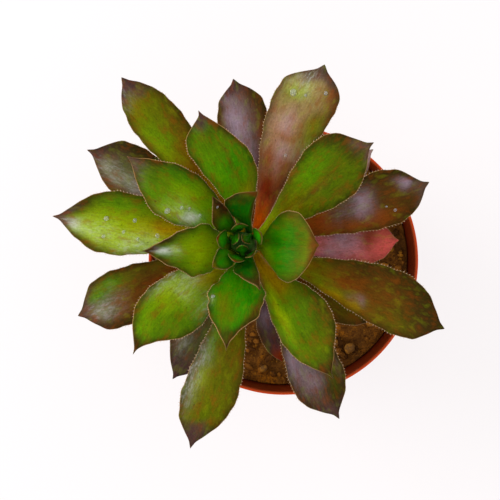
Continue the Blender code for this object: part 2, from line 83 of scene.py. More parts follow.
# Touches in mist and pearl paint sheen, a painted highlight; touches in ash are partly wax bloom and partly
# painted sheen.
LOOKS = {
    "lower_leaf_1": look(
        "wine", "plum", "wine",
        ("lilac", 0.52, -0.35, 0.10, 0.5, 0.45), ("berry", 0.92, 0.3, 0.08, 0.8, 0.4), piping=0.35,
    ),
    "lower_leaf_2": look(
        "bark", "plum", "plum", ("moss", 0.58, 0.2, 0.2, 0.6, 0.5), ("ash", 0.70, -0.5, 0.12, 0.3, 0.5),
    ),
    "lower_leaf_3": look(
        "wine", "rose", "rose",
        ("lilac", 0.58, 0.1, 0.16, 0.7, 0.8), ("lilac", 0.44, -0.7, 0.10, 0.4, 0.6),
        ("wine", 0.77, 0.1, 0.06, 0.5, 0.9), ("rose", 0.90, 0.0, 0.08, 1.0, 0.9), piping=0.6, band=0.2,
    ),
    "lower_leaf_4": look("rust", "bark", "umber", ("moss", 0.7, 0.0, 0.3, 0.8, 0.4), piping=0.7),
    "lower_leaf_5": look(
        "bark", "plum", "blush", ("blush", 0.85, 0.0, 0.15, 1.2, 0.9), piping=0.6, band=0.2,
    ),
    "lower_leaf_6": look("bark", "plum", "plum", ("moss", 0.6, 0.0, 0.3, 0.8, 0.4)),
    "lower_leaf_7": look("bark", "plum", "plum", ("moss", 0.6, 0.0, 0.3, 0.8, 0.4)),
    "lower_leaf_8": look("bark", "plum", "plum", ("moss", 0.6, 0.0, 0.3, 0.8, 0.4)),
    "outer_leaf_1": look(
        "wine", "umber", "plum",
        ("dusk", 0.68, -0.60, 0.18, 0.40, 0.8), ("lilac", 0.58, -0.80, 0.08, 0.3, 0.8),
        ("lilac", 0.72, -0.35, 0.09, 0.3, 0.4), ("umber", 0.85, 0.1, 0.05, 0.6, 0.7),
        ("moss", 0.78, 0.40, 0.08, 0.3, 0.35), ("taupe", 0.68, 0.85, 0.10, 0.2, 0.6), piping=0.7,
    ),
    "outer_leaf_2": look(
        "rust", "dusk", "plum",
        ("rust", 0.60, -0.95, 0.30, 0.35, 0.95), ("bark", 0.55, 0.95, 0.25, 0.28, 0.8),
        ("lilac", 0.71, 0.25, 0.12, 0.4, 1.0), ("lilac", 0.46, -0.05, 0.11, 0.5, 0.8),
        ("bark", 0.76, 0.95, 0.12, 0.22, 0.9), ("umber", 0.84, -0.8, 0.10, 0.3, 0.8),
        ("lilac", 0.90, 0.7, 0.04, 0.3, 0.6),
    ),
    "outer_leaf_3": look(
        "wine", "dusk", "plum",
        ("umber", 0.62, -0.9, 0.25, 0.6, 0.95), ("bark", 0.45, 0.0, 0.16, 1.0, 0.7),
        ("lilac", 0.60, 0.4, 0.10, 0.4, 0.6), ("moss", 0.74, 0.0, 0.08, 0.45, 0.5),
        ("ash", 0.86, 0.40, 0.08, 0.4, 0.6), ("umber", 0.82, -0.8, 0.14, 0.4, 0.7),
        ("ash", 0.70, 0.50, 0.08, 0.3, 0.7), ("bark", 0.77, 0.90, 0.08, 0.2, 0.7),
    ),
    "outer_leaf_4": look(
        "wine", "bark", "dusk",
        ("umber", 0.50, -0.1, 0.14, 0.7, 0.8), ("rust", 0.42, 0.3, 0.14, 0.7, 0.5),
        ("olive", 0.44, -0.85, 0.10, 0.3, 0.7), ("grass", 0.76, -0.55, 0.10, 0.30, 1.0),
        ("bark", 0.66, 0.05, 0.06, 0.5, 0.7), ("dusk", 0.83, 0.10, 0.08, 0.5, 0.95),
        ("ash", 0.82, 0.15, 0.06, 0.35, 0.7), ("ash", 0.90, 0.0, 0.04, 0.4, 0.5),
        ("grass", 0.84, -0.45, 0.05, 0.25, 0.8),
        ("umber", 0.74, 0.90, 0.16, 0.3, 0.8), piping=0.35,
    ),
    "outer_leaf_5": look(
        "rust", "umber", "dusk",
        ("rust", 0.34, 0.2, 0.10, 1.2, 0.9), ("dusk", 0.48, 0.0, 0.07, 0.6, 0.8),
        ("olive", 0.52, 0.60, 0.06, 0.3, 0.8), ("lilac", 0.60, 0.05, 0.055, 0.42, 1.0),
        ("bark", 0.75, 0.1, 0.11, 0.7, 0.5), ("rust", 0.52, -0.85, 0.14, 0.30, 0.8),
        ("rust", 0.68, -0.7, 0.10, 0.3, 0.6), ("lilac", 0.85, 0.28, 0.04, 0.22, 1.0), piping=0.65,
    ),
    "middle_leaf_1": look(
        "gold", "brown", "umber",
        ("olive", 0.32, 0.0, 0.10, 1.2, 0.95), ("grass", 0.38, -0.6, 0.12, 0.35, 0.6),
        ("gold", 0.44, -0.85, 0.10, 0.3, 0.8), ("rust", 0.48, 0.20, 0.09, 0.35, 0.8),
        ("umber", 0.60, 0.75, 0.20, 0.4, 0.8), ("lilac", 0.55, -0.38, 0.035, 0.18, 0.5),
        ("moss", 0.77, -0.45, 0.10, 0.4, 0.8), ("bark", 0.66, 0.2, 0.14, 0.8, 0.8),
        ("umber", 0.84, 0.5, 0.10, 0.7, 0.8), ("umber", 0.90, -0.2, 0.08, 1.0, 0.9),
    ),
    "middle_leaf_2": look(
        "olive", "olive", "plum",
        ("grass", 0.42, -0.4, 0.12, 0.6, 0.8), ("bark", 0.52, 0.3, 0.12, 0.4, 0.5),
        ("ash", 0.57, -0.90, 0.10, 0.40, 0.9), ("ash", 0.72, -0.75, 0.08, 0.3, 0.8),
        ("lime", 0.66, -0.40, 0.06, 0.3, 0.4), ("moss", 0.84, 0.1, 0.08, 0.8, 0.7),
        ("moss", 0.66, 0.35, 0.12, 0.4, 0.6), ("umber", 0.93, 0.0, 0.04, 1.0, 0.5), piping=0.6,
    ),
    "middle_leaf_3": look(
        "ember", "olive", "plum",
        ("gold", 0.26, 0.0, 0.10, 1.2, 0.95), ("rust", 0.46, -0.1, 0.10, 0.7, 0.7),
        ("grass", 0.64, 0.45, 0.13, 0.5, 0.75), ("moss", 0.78, -0.1, 0.10, 0.8, 0.6),
        ("bark", 0.62, -0.55, 0.12, 0.4, 0.45), ("ash", 0.91, 0.60, 0.04, 0.35, 0.45),
        ("lime", 0.58, 0.75, 0.10, 0.25, 0.4), ("olive", 0.84, 0.35, 0.06, 0.4, 0.7),
    ),
    "middle_leaf_4": look(
        "gold", "lime", "dusk",
        ("grass", 0.68, -0.65, 0.24, 0.45, 1.0), ("grass", 0.45, -0.4, 0.10, 0.4, 0.7),
        ("gold", 0.36, 0.0, 0.14, 0.4, 0.8), ("mist", 0.54, 0.70, 0.10, 0.3, 0.7),
        ("lime", 0.76, 0.15, 0.10, 0.5, 0.7), ("mist", 0.76, 0.40, 0.07, 0.3, 0.5),
        ("pearl", 0.90, 0.35, 0.05, 0.25, 0.8),
        ("umber", 0.88, -0.75, 0.08, 0.45, 1.0), ("umber", 0.82, 0.95, 0.10, 0.2, 0.8),
    ),
    "middle_leaf_5": look(
        "ember", "taupe", "dusk",
        ("wine", 0.26, 0.1, 0.10, 1.2, 1.0), ("ember", 0.07, 0.0, 0.07, 1.2, 0.9),
        ("rust", 0.36, -0.5, 0.06, 0.5, 0.5), ("blush", 0.46, -0.10, 0.06, 0.35, 0.8),
        ("rust", 0.42, 0.50, 0.06, 0.4, 0.8), ("rust", 0.42, -0.45, 0.05, 0.3, 0.8),
        ("blush", 0.52, -0.85, 0.06, 0.25, 0.7), ("mist", 0.60, -0.85, 0.05, 0.2, 0.6),
        ("rust", 0.58, 0.0, 0.05, 0.4, 0.6), ("blush", 0.64, 0.25, 0.05, 0.30, 0.5),
        ("olive", 0.66, -0.7, 0.17, 0.38, 0.95), ("lime", 0.60, -0.85, 0.08, 0.2, 0.4),
        ("moss", 0.78, 0.35, 0.05, 0.4, 0.4), ("mist", 0.86, 0.30, 0.07, 0.5, 0.5),
        ("lime", 0.80, 0.45, 0.06, 0.3, 0.5), ("pearl", 0.93, 0.35, 0.03, 0.4, 0.5),
        ("wine", 0.88, -0.85, 0.09, 0.25, 0.7), ("taupe", 0.52, 0.85, 0.2, 0.2, 0.4),
    ),
    "inner_leaf_1": look(
        "gold", "grass", "umber",
        ("gold", 0.16, 0.70, 0.10, 0.6, 0.9), ("bark", 0.20, -0.85, 0.12, 0.4, 0.9),
        ("lime", 0.46, -0.40, 0.16, 0.25, 1.0), ("moss", 0.70, 0.2, 0.13, 0.7, 0.75),
        ("olive", 0.80, 0.5, 0.10, 0.4, 0.5), ("moss", 0.48, 0.6, 0.14, 0.3, 0.5),
        ("moss", 0.82, -0.3, 0.08, 0.5, 0.9), ("gold", 0.29, 0.35, 0.08, 0.4, 0.7),
        ("bark", 0.60, 0.85, 0.16, 0.2, 0.6), ("umber", 0.90, 0.0, 0.05, 1.0, 0.7), piping=0.7,
    ),
    "inner_leaf_2": look(
        "lime", "moss", "dusk",
        ("grass", 0.56, 0.45, 0.14, 0.4, 0.9), ("olive", 0.34, 0.0, 0.12, 0.9, 0.8),
        ("moss", 0.55, -0.75, 0.20, 0.3, 0.8), ("bark", 0.60, 0.0, 0.16, 0.12, 0.5),
        ("moss", 0.77, 0.0, 0.08, 0.6, 0.9), ("grass", 0.74, 0.75, 0.08, 0.3, 0.8),
        ("umber", 0.84, 0.95, 0.10, 0.4, 0.9), ("umber", 0.88, 0.2, 0.06, 0.6, 0.7),
        ("umber", 0.52, -0.15, 0.10, 0.08, 0.6), ("bark", 0.66, -0.6, 0.05, 0.10, 0.5), piping=0.7,
    ),
    "inner_leaf_3": look(
        "lime", "grass", "umber",
        ("lime", 0.50, -0.3, 0.20, 0.5, 0.95), ("mist", 0.40, -0.15, 0.08, 0.35, 0.8),
        ("pearl", 0.37, -0.2, 0.04, 0.2, 0.4), ("mist", 0.52, -0.85, 0.10, 0.25, 0.8),
        ("mist", 0.44, 0.85, 0.08, 0.2, 0.5), ("moss", 0.72, 0.5, 0.16, 0.5, 0.6),
        ("gold", 0.30, 0.3, 0.10, 0.5, 0.5), ("bark", 0.74, -0.92, 0.2, 0.15, 0.5), piping=0.8,
    ),
    "inner_leaf_4": look(
        "gold", "grass", "plum",
        ("leaf", 0.56, -0.25, 0.18, 0.6, 0.8), ("moss", 0.76, 0.2, 0.10, 0.6, 0.7),
        ("leaf", 0.14, 0.70, 0.10, 0.6, 0.9), ("gold", 0.30, -0.5, 0.10, 0.4, 0.5),
        ("bark", 0.84, -0.85, 0.06, 0.3, 0.6), ("bark", 0.56, -0.12, 0.14, 0.09, 0.5),
        ("umber", 0.86, -0.2, 0.05, 0.9, 0.5), piping=0.9,
    ),
    "inner_leaf_5": look(
        "lime", "grass", "dusk",
        ("mist", 0.46, 0.65, 0.10, 0.28, 0.8), ("pearl", 0.41, 0.6, 0.04, 0.15, 0.9),
        ("lime", 0.54, 0.80, 0.08, 0.3, 0.7), ("leaf", 0.60, -0.55, 0.18, 0.4, 0.7),
        ("moss", 0.72, 0.2, 0.08, 0.5, 0.5), ("dusk", 0.88, 0.45, 0.06, 0.4, 0.8),
        ("umber", 0.83, -0.5, 0.08, 0.6, 0.8), ("lime", 0.50, 0.0, 0.14, 0.4, 0.5),
        ("lime", 0.42, -0.75, 0.10, 0.3, 0.7), piping=0.9,
    ),
    "upper_leaf_1": look(
        "leaf", "leaf", "umber",
        ("olive", 0.62, -0.35, 0.16, 0.35, 0.7), ("leaf", 0.40, 0.3, 0.16, 0.5, 0.8),
        ("umber", 0.86, 0.0, 0.06, 1.2, 0.8), ("mist", 0.58, -0.9, 0.04, 0.12, 0.5),
        ("bark", 0.66, 0.90, 0.10, 0.2, 0.9), piping=1.0, wave=2.6,
    ),
    "upper_leaf_2": look(
        "lime", "leaf", "bark",
        ("lime", 0.28, -0.75, 0.12, 0.5, 0.95), ("pine", 0.64, -0.35, 0.16, 0.6, 0.95),
        ("leaf", 0.44, 0.0, 0.12, 0.6, 0.8), ("grass", 0.28, 0.35, 0.10, 0.6, 0.9),
        ("moss", 0.80, -0.1, 0.09, 0.8, 0.8), ("olive", 0.70, 0.9, 0.16, 0.3, 0.8),
        ("olive", 0.70, -0.95, 0.16, 0.2, 0.6), ("olive", 0.90, 0.0, 0.06, 1.0, 0.6),
        piping=0.8, band=0.5,
    ),
    "upper_leaf_3": look(
        "grass", "grass", "umber",
        ("lime", 0.48, 0.05, 0.18, 0.7, 0.8), ("lime", 0.27, 0.0, 0.12, 0.7, 0.9),
        ("umber", 0.80, -0.85, 0.14, 0.45, 0.95), ("umber", 0.80, 0.85, 0.08, 0.4, 0.8),
        ("mist", 0.70, 0.0, 0.05, 0.25, 0.8), ("pearl", 0.82, 0.10, 0.06, 0.20, 0.85),
        ("lilac", 0.91, -0.2, 0.04, 0.4, 0.8),
        ("moss", 0.66, 0.6, 0.12, 0.4, 0.5), piping=0.7, wave=2.2,
    ),
    "heart_leaf_1": look(
        "pine", "pine", "bark",
        ("leaf", 0.45, -0.3, 0.2, 0.5, 0.8), ("olive", 0.68, -0.8, 0.12, 0.3, 0.8),
        ("umber", 0.82, 0.3, 0.08, 1.0, 0.6),
    ),
    "heart_leaf_2": look(
        "leaf", "umber", "umber",
        ("leaf", 0.38, 0.0, 0.16, 1.2, 0.9), ("umber", 0.74, 0.0, 0.12, 1.2, 0.9),
        ("olive", 0.74, 0.8, 0.12, 0.4, 0.7),
    ),
    "heart_leaf_3": look(
        "leaf", "pine", "umber", ("umber", 0.80, -0.1, 0.18, 1.4, 0.9), ("dusk", 0.92, -0.5, 0.04, 0.4, 0.3),
    ),
    "heart_leaf_4": look(
        "lime", "sprout", "olive",
        ("lime", 0.14, 0.2, 0.16, 1.0, 0.8), ("leaf", 0.68, 0.0, 0.12, 0.8, 0.7),
        ("moss", 0.86, 0.0, 0.05, 1.2, 0.8),
    ),
    "core_leaf_1": look("leaf", "sprout", "rust"),
    "core_leaf_2": look("pine", "sprout", "bark"),
    "core_leaf_3": look("leaf", "sprout", "rust", ("bark", 0.8, 0.0, 0.1, 1.0, 0.7)),
    "core_leaf_4": look("pine", "pine", "umber"),
    "core_leaf_5": look("leaf", "sprout", "olive"),
    "bud_leaf_1": look("pine", "leaf", "bark"),
    "bud_leaf_2": look("leaf", "sprout", "sprout"),
    "bud_leaf_3": look("leaf", "sprout", "sprout"),
}

# The colours that dull a leaf as wax bloom does, and those that paint sheen, a painted highlight, with how
# much each does so.
BLOOM = {"lilac": 1.0, "blush": 0.8, "dusk": 0.5, "taupe": 0.4, "ash": 0.7}
# Shine is painted sheen in the colour, and also real gloss: a clear coat and less roughness.
SHINE = {"pearl": 1.0, "mist": 0.7, "ash": 0.5}

# Underside colours by rank: the outer ranks are wine red below, and the inner ones a dull green.
UNDERSIDES = {
    "lower_leaf": ("wine", "plum"),
    "outer_leaf": ("wine", "dusk"),
    "middle_leaf": ("rust", "moss"),
    "inner_leaf": ("olive", "moss"),
    "upper_leaf": ("grass", "moss"),
    "heart_leaf": ("leaf", "leaf"),
    "core_leaf": ("pine", "leaf"),
    "bud_leaf": ("pine", "leaf"),
}

# How strongly each rank is mottled and veined.
MOTTLING = {
    "lower_leaf": (0.8, 0.5),
    "outer_leaf": (0.8, 0.6),
    "middle_leaf": (0.8, 0.6),
    "inner_leaf": (0.8, 0.6),
    "upper_leaf": (0.6, 0.5),
    "heart_leaf": (0.5, 0.5),
    "core_leaf": (0.4, 0.4),
    "bud_leaf": (0.3, 0.4),
}

# Water drops: the leaf, then along, across and diameter in mm of each.
DROPS = {
    "middle_leaf_5": ((0.80, 0.45, 2.6), (0.81, 0.05, 1.2), (0.86, -0.5, 1.6), (0.47, -0.25, 1.2)),
    "middle_leaf_4": (
        (0.72, -0.05, 1.9), (0.57, -0.1, 1.6), (0.62, 0.3, 1.4),
        (0.72, 0.5, 1.5), (0.44, 0.35, 1.7), (0.54, 0.5, 1.4),
    ),
    "inner_leaf_5": ((0.57, 0.75, 2.2), (0.50, 0.45, 1.6), (0.45, 0.35, 1.2), (0.36, 0.4, 1.5)),
    "heart_leaf_2": ((0.78, 0.1, 1.2),),
    "outer_leaf_5": ((0.76, -0.55, 1.3), (0.72, -0.35, 0.9)),
    "upper_leaf_1": ((0.55, -0.8, 1.4),),
}

# ---------------------------------------------------------------- settings


def length_mm(name, description, default, least=0.0):
    return FloatProperty(name=name, description=description, default=default, min=least)


def colour(name, description, default):
    return FloatVectorProperty(
        name=name, description=description, default=default, subtype="COLOR_GAMMA", size=3, min=0.0, max=1.0
    )


class LeafSettings(bpy.types.PropertyGroup):
    hair_length: length_mm("Hair length", "Length of the longest margin hairs, in mm", 0.65)
    hair_gap: length_mm("Hair gap", "Distance from one margin hair to the next, in mm", 1.2, 0.1)
    hair_width: length_mm("Hair width", "Width of a margin hair at its root, in mm", 0.30)
    ripple: length_mm("Ripple", "How far a margin waves up and down, in mm", 0.42)
    swell: length_mm("Swell", "How far the blade's surface rises and falls, in mm", 0.16)
    groove: length_mm("Groove", "Depth of the groove along the middle of the upper face, in mm", 0.35)
    keel: length_mm("Keel", "Height of the keel along the underside, in mm", 0.30)
    clasp: length_mm("Clasp", "How far a leaf's foot runs into the stem, in mm", 2.2)
    stations: IntProperty(name="Stations", description="Cross-sections along a leaf", default=64, min=16)


class LeafColours(bpy.types.PropertyGroup):
    lime: colour("Lime", "Light yellow-green", (0.5, 0.585, 0.0))
    grass: colour("Grass", "Bright green", (0.27, 0.46, 0.0))
    leaf: colour("Leaf", "Deeper bright green", (0.13, 0.45, 0.0))
    moss: colour("Moss", "Dark green", (0.23, 0.31, 0.0))
    sprout: colour("Sprout", "Bright green of the youngest leaves", (0.15, 0.60, 0.02))
    pine: colour("Pine", "Deep cool green", (0.02, 0.36, 0.02))
    olive: colour("Olive", "Brownish green", (0.37, 0.34, 0.0))
    gold: colour("Gold", "Yellow-brown near a foot", (0.62, 0.46, 0.0))
    brown: colour("Brown", "Olive brown", (0.34, 0.24, 0.02))
    bark: colour("Bark", "Warm brown", (0.33, 0.17, 0.03))
    umber: colour("Umber", "Dark brown", (0.17, 0.09, 0.03))
    rust: colour("Rust", "Red brown", (0.48, 0.19, 0.02))
    ember: colour("Ember", "Orange at a foot", (0.74, 0.3, 0.0))
    wine: colour("Wine", "Dark red", (0.42, 0.07, 0.02))
    berry: colour("Berry", "Purple red", (0.54, 0.1, 0.16))
    rose: colour("Rose", "Dusty red", (0.74, 0.28, 0.28))
    plum: colour("Plum", "Dark purple brown", (0.24, 0.14, 0.17))
    dusk: colour("Dusk", "Grey purple", (0.31, 0.22, 0.20))
    taupe: colour("Taupe", "Grey pink brown", (0.54, 0.41, 0.29))
    lilac: colour("Lilac", "Pale purple wax bloom", (0.54, 0.46, 0.52))
    blush: colour("Blush", "Pale pink wax bloom", (0.68, 0.55, 0.55))
    # Ash is wax bloom and also painted sheen.
    ash: colour("Ash", "Grey green wax bloom", (0.44, 0.46, 0.36))
    # Mist and pearl are painted sheen: painted highlights on the leaves.
    mist: colour("Mist", "Pale green sheen", (0.58, 0.68, 0.32))
    pearl: colour("Pearl", "Pale grey sheen", (0.72, 0.74, 0.70))
    cream: colour("Cream", "Margin line and hairs", (0.64, 0.48, 0.28))
    hair: colour("Hair", "Margin hairs", (0.88, 0.76, 0.64))


class PotSettings(bpy.types.PropertyGroup):
    wall: length_mm("Wall", "Thickness of the pot's wall, in mm", 1.4, 0.5)
    floor: length_mm("Floor", "Thickness of the pot's floor, in mm", 2.0, 0.5)
    foot_diameter: length_mm("Foot diameter", "Diameter of the pot at its base, in mm", 73.0, 10.0)
    band_height: length_mm("Band height", "Height of the band below the rim, in mm", 16.0, 2.0)
    band_step: length_mm("Band step", "How far the band stands out of the wall, in mm", 1.6)
    band_flare: length_mm("Band flare", "How far the band leans out, in mm", 1.5)
    hole_diameter: length_mm("Hole diameter", "Diameter of a drainage hole, in mm", 8.0, 1.0)
    hole_ring: length_mm("Hole ring", "Diameter of the circle of drainage holes, in mm", 48.0, 5.0)
    holes: IntProperty(name="Holes", description="Number of drainage holes", default=6, min=1)
    plastic: colour("Plastic", "Terracotta coloured plastic", (0.64, 0.235, 0.09))


class SoilSettings(bpy.types.PropertyGroup):
    crumble: length_mm("Crumble", "How far the soil's surface rises and falls, in mm", 1.1)
    crumbs: IntProperty(name="Crumbs", description="Number of loose crumbs on the soil", default=1500, min=0)
    largest: length_mm("Largest crumb", "Diameter of the largest crumb, in mm", 3.6, 0.2)
    dark: colour("Dark soil", "Damp peat", (0.33, 0.19, 0.05))
    light: colour("Light soil", "Dry peat", (0.62, 0.39, 0.12))
    sand: colour("Sand", "Tan grains", (0.72, 0.48, 0.12))
    stone: colour("Stone", "Pale grit", (0.56, 0.38, 0.15))


class StemSettings(bpy.types.PropertyGroup):
    scar_rise: length_mm("Scar rise", "Height from one leaf scar to the next, in mm", 1.5, 0.2)
    scar_depth: length_mm("Scar depth", "Depth of a leaf scar, in mm", 0.55)
    bark: colour("Stem bark", "Grey brown bark", (0.42, 0.34, 0.24))
    scar: colour("Stem scar", "Dark leaf scars", (0.25, 0.17, 0.11))
    green: colour("Stem green", "Young stem", (0.12, 0.38, 0.03))


class StageSettings(bpy.types.PropertyGroup):
    camera_height: FloatProperty(
        name="Camera height", description="Height of the camera", default=0.642, unit="LENGTH"
    )
    frame_width: FloatProperty(
        name="Frame width", description="Width seen at the rim's height", default=0.1945, unit="LENGTH"
    )
    floor: colour("Floor", "Pale studio floor", (0.505, 0.498, 0.500))
    glow: FloatProperty(name="Glow", description="Strength of the floor's own light", default=0.765, min=0.0)
    sky: FloatProperty(name="Sky", description="Strength of the even light", default=0.75, min=0.0)
    key: FloatProperty(name="Key", description="Power of the large side light", default=9.0, unit="POWER")
    fill: FloatProperty(name="Fill", description="Power of the overhead light", default=5.0, unit="POWER")


class SucculentSettings(bpy.types.PropertyGroup):
    leaves: PointerProperty(type=LeafSettings, name="Leaves", description="Sizes of the leaves' details")
    colours: PointerProperty(type=LeafColours, name="Colours", description="Colours of the leaves")
    pot: PointerProperty(type=PotSettings, name="Pot", description="Sizes and colour of the pot")
    soil: PointerProperty(type=SoilSettings, name="Soil", description="Soil, crumbs and grit")
    stem: PointerProperty(type=StemSettings, name="Stem", description="Stem and leaf scars")
    stage: PointerProperty(type=StageSettings, name="Stage", description="Floor, lights and camera")


def settings():
    return bpy.context.scene.succulent


def linear(gamma):
    """A colour as chosen on screen, as light."""
    gamma = np.asarray(gamma, float)
    return np.where(gamma <= 0.04045, gamma / 12.92, ((gamma + 0.055) / 1.055) ** 2.4)


# ---------------------------------------------------------------- shader maths


class Value:
    """A socket in a shader tree, so that sums on it add Math nodes."""

    def __init__(self, skin, socket):
        self.skin = skin
        self.socket = socket

    def maths(self, operation, *others):
        inputs = dict(enumerate((self, *others)))
        return self.skin.add("ShaderNodeMath", {"operation": operation}, inputs)

    def __add__(self, other):
        return self.maths("ADD", other)

    __radd__ = __add__

    def __mul__(self, other):
        return self.maths("MULTIPLY", other)

    __rmul__ = __mul__

    def __sub__(self, other):
        return self.maths("SUBTRACT", other)

    def __rsub__(self, other):
        return self.skin.add("ShaderNodeMath", {"operation": "SUBTRACT"}, {0: other, 1: self})

    def above(self, low, high):
        """0 below low and 1 above high, with a smooth step between."""
        inputs = {"Value": self, "From Min": low, "From Max": high, "To Min": 0.0, "To Max": 1.0}
        return self.skin.add("ShaderNodeMapRange", {"interpolation_type": "SMOOTHSTEP"}, inputs)


class Skin:
    """A material under construction: its nodes are added by one method and feed one Principled shader."""

    def __init__(self, name, **constants):
        self.material = bpy.data.materials.new(name)
        self.material.use_nodes = True
        self.tree = self.material.node_tree
        self.shader = self.tree.nodes["Principled BSDF"]
        for socket, value in constants.items():
            self.shader.inputs[socket.replace("_", " ")].default_value = value

    def add(self, kind, choices=None, inputs=None, output=0):
        node = self.tree.nodes.new(kind)
        for name, value in (choices or {}).items():
            if name == "stops":
                ramp = node.color_ramp
                while len(ramp.elements) < len(value):
                    ramp.elements.new(1.0)
                for element, (place, shade) in zip(ramp.elements, value):
                    element.position = place
                    element.color = (*shade, 1.0)
            else:
                setattr(node, name, value)
        for name, value in (inputs or {}).items():
            self.feed(node.inputs[name], value)
        return Value(self, node.outputs[output])

    def feed(self, socket, value):
        if isinstance(value, Value):
            self.tree.links.new(value.socket, socket)
        elif isinstance(value, np.ndarray):
            socket.default_value = (*value, 1.0)
        else:
            socket.default_value = value

    def mix(self, low, high, share, blend="MIX"):
        choices = {"data_type": "RGBA", "blend_type": blend, "clamp_factor": True}
        return self.add("ShaderNodeMix", choices, {0: share, 6: low, 7: high}, 2)

    def painted(self, name, output="Fac"):
        return self.add("ShaderNodeAttribute", {"attribute_name": name}, {}, output)

    def times(self, vector, scale):
        """A vector or a colour times another, or times a value."""
        return self.add("ShaderNodeVectorMath", {"operation": "MULTIPLY"}, {0: vector, 1: scale})

    def position(self):
        return self.add("ShaderNodeTexCoord", {}, {}, "Object")

    def noise(self, vector, scale, detail=3.0, rough=0.55):
        inputs = {"Vector": vector, "Scale": scale, "Detail": detail, "Roughness": rough}
        return self.add("ShaderNodeTexNoise", {}, inputs, "Fac")

    def cells(self, vector, scale):
        return self.add("ShaderNodeTexVoronoi", {}, {"Vector": vector, "Scale": scale}, "Distance")

    def bump(self, height, depth, strength=1.0):
        inputs = {"Height": height, "Distance": depth, "Strength": strength}
        self.feed(self.shader.inputs["Normal"], self.add("ShaderNodeBump", {}, inputs))

    def set(self, **values):
        for socket, value in values.items():
            self.feed(self.shader.inputs[socket.replace("_", " ")], value)
        return self.material


WAX_TINT = (0.95, 0.90, 0.15, 1.0)  # leaf wax gives back a yellowish light
FLESH_DEPTHS = (0.6, 1.0, 0.2)  # how far red, green and blue light goes through a leaf, against each other

# A pattern on a leaf: how fast it changes per mm along and across the blade and from face to face, how
# many finer layers it has, and how strong they are.
Pattern = namedtuple("Pattern", "scale detail rough")
CLOUDY = Pattern((0.16, 0.24, 1.0), 5.0, 0.65)
STREAKS = Pattern((0.22, 1.5, 1.0), 3.0, 0.6)
GRAIN = Pattern((1.3, 1.7, 1.0), 3.0, 0.7)
BLUSH = Pattern((0.22, 0.40, 3.0), 2.0, 0.60)
FRECKLES = Pattern((0.9, 1.1, 5.0), 2.0, 0.5)
WAX = Pattern((0.38, 0.95, 1.0), 6.0, 0.72)


def leaf_skin(name, mottling, veins):
    """Waxy leaf: painted pigment under mottling and fine veins, wax bloom that dulls it, painted sheen where
    it shines, a pale margin.
    """
    colours = settings().colours
    skin = Skin(
        name, Specular_IOR_Level=0.16, Specular_Tint=WAX_TINT,
        Subsurface_Weight=0.05, Subsurface_Scale=0.0015, Subsurface_Radius=FLESH_DEPTHS,
    )
    bloom, shine, rim, piping = (skin.painted(paint) for paint in ("bloom", "shine", "rim", "piping"))
    blade = skin.painted("blade", "Vector")
    cloudy, streaks, grain, blush, freckles, wax = (
        skin.noise(skin.times(blade, pattern.scale), 1.0, pattern.detail, pattern.rough)
        for pattern in (CLOUDY, STREAKS, GRAIN, BLUSH, FRECKLES, WAX)
    )
    tint = skin.painted("pigment", "Color")
    # Stains in turn: the colour, the pattern that spreads it, where that sets in and is full, the share.
    for stain, spread, low, high, share in (
        ("bark", cloudy, 0.49, 0.64, 0.45 * mottling),
        ("rust", blush, 0.50, 0.68, 0.38 * mottling),
        ("lime", 1.0 - blush, 0.50, 0.72, 0.20 * mottling),
        ("umber", freckles, 0.66, 0.72, 0.5),
    ):
        tint = skin.mix(tint, linear(getattr(colours, stain)), spread.above(low, high) * share)
    mottled = (cloudy - 0.5) * (1.6 * mottling) + (grain - 0.5) * (1.3 * mottling)
    tint = skin.times(tint, 1.0 + mottled + (streaks - 0.5) * veins)
    tint = skin.mix(tint, linear(colours.lilac), bloom * wax.above(0.46, 0.62) * 0.45)
    # Painted sheen: pale grey mixed in where the leaf shines, broken up by the wax pattern.
    tint = skin.mix(tint, linear(colours.pearl), shine * wax.above(0.47, 0.60) * 0.62)
    line = (1.0 - rim.above(0.08, 0.30)) * piping
    tint = skin.mix(tint, linear(colours.cream), line * (0.5 + grain * 0.75))
    skin.bump(streaks * 0.5 + grain * 0.5 + wax * shine * 0.8, 0.00030, 0.6)
    rough = 0.40 + bloom * 0.22 - shine * 0.12 + (grain - 0.5) * 0.16
    return skin.set(Base_Color=tint, Roughness=rough, Coat_Weight=shine * 0.35)


def hair_skin():
    colours = settings().colours
    skin = Skin("margin_hair", Roughness=0.45, Specular_IOR_Level=0.3)
    specks = skin.noise(skin.position(), 900.0, 2.0).above(0.15, 0.45)
    return skin.set(Base_Color=skin.mix(linear(colours.cream), linear(colours.hair), specks))


def water_skin():
    skin = Skin(
        "dew", Base_Color=(1.0, 1.0, 1.0, 1.0), Transmission_Weight=0.85, IOR=1.2, Specular_IOR_Level=0.9
    )
    ripple = skin.noise(skin.position(), 700.0, 1.0)
    return skin.set(Roughness=0.01 + ripple * 0.02)


PLASTIC_SHEEN = (1.0, 0.55, 0.30, 1.0)  # the plastic gives back an orange light
# Dust is on the pot; the other two are painted shade inside the pot and a painted highlight on its lip and
# band.
DUST, INSIDE_SHADE_RED, LIP_HIGHLIGHT = (0.78, 0.60, 0.46), (0.32, 0.06, 0.0), (0.82, 0.26, 0.03)
FLOW_MARKS = (60.0, 60.0, 14.0)  # upright marks, per metre
SCUFFS = (160.0, 160.0, 900.0)  # level marks, per metre


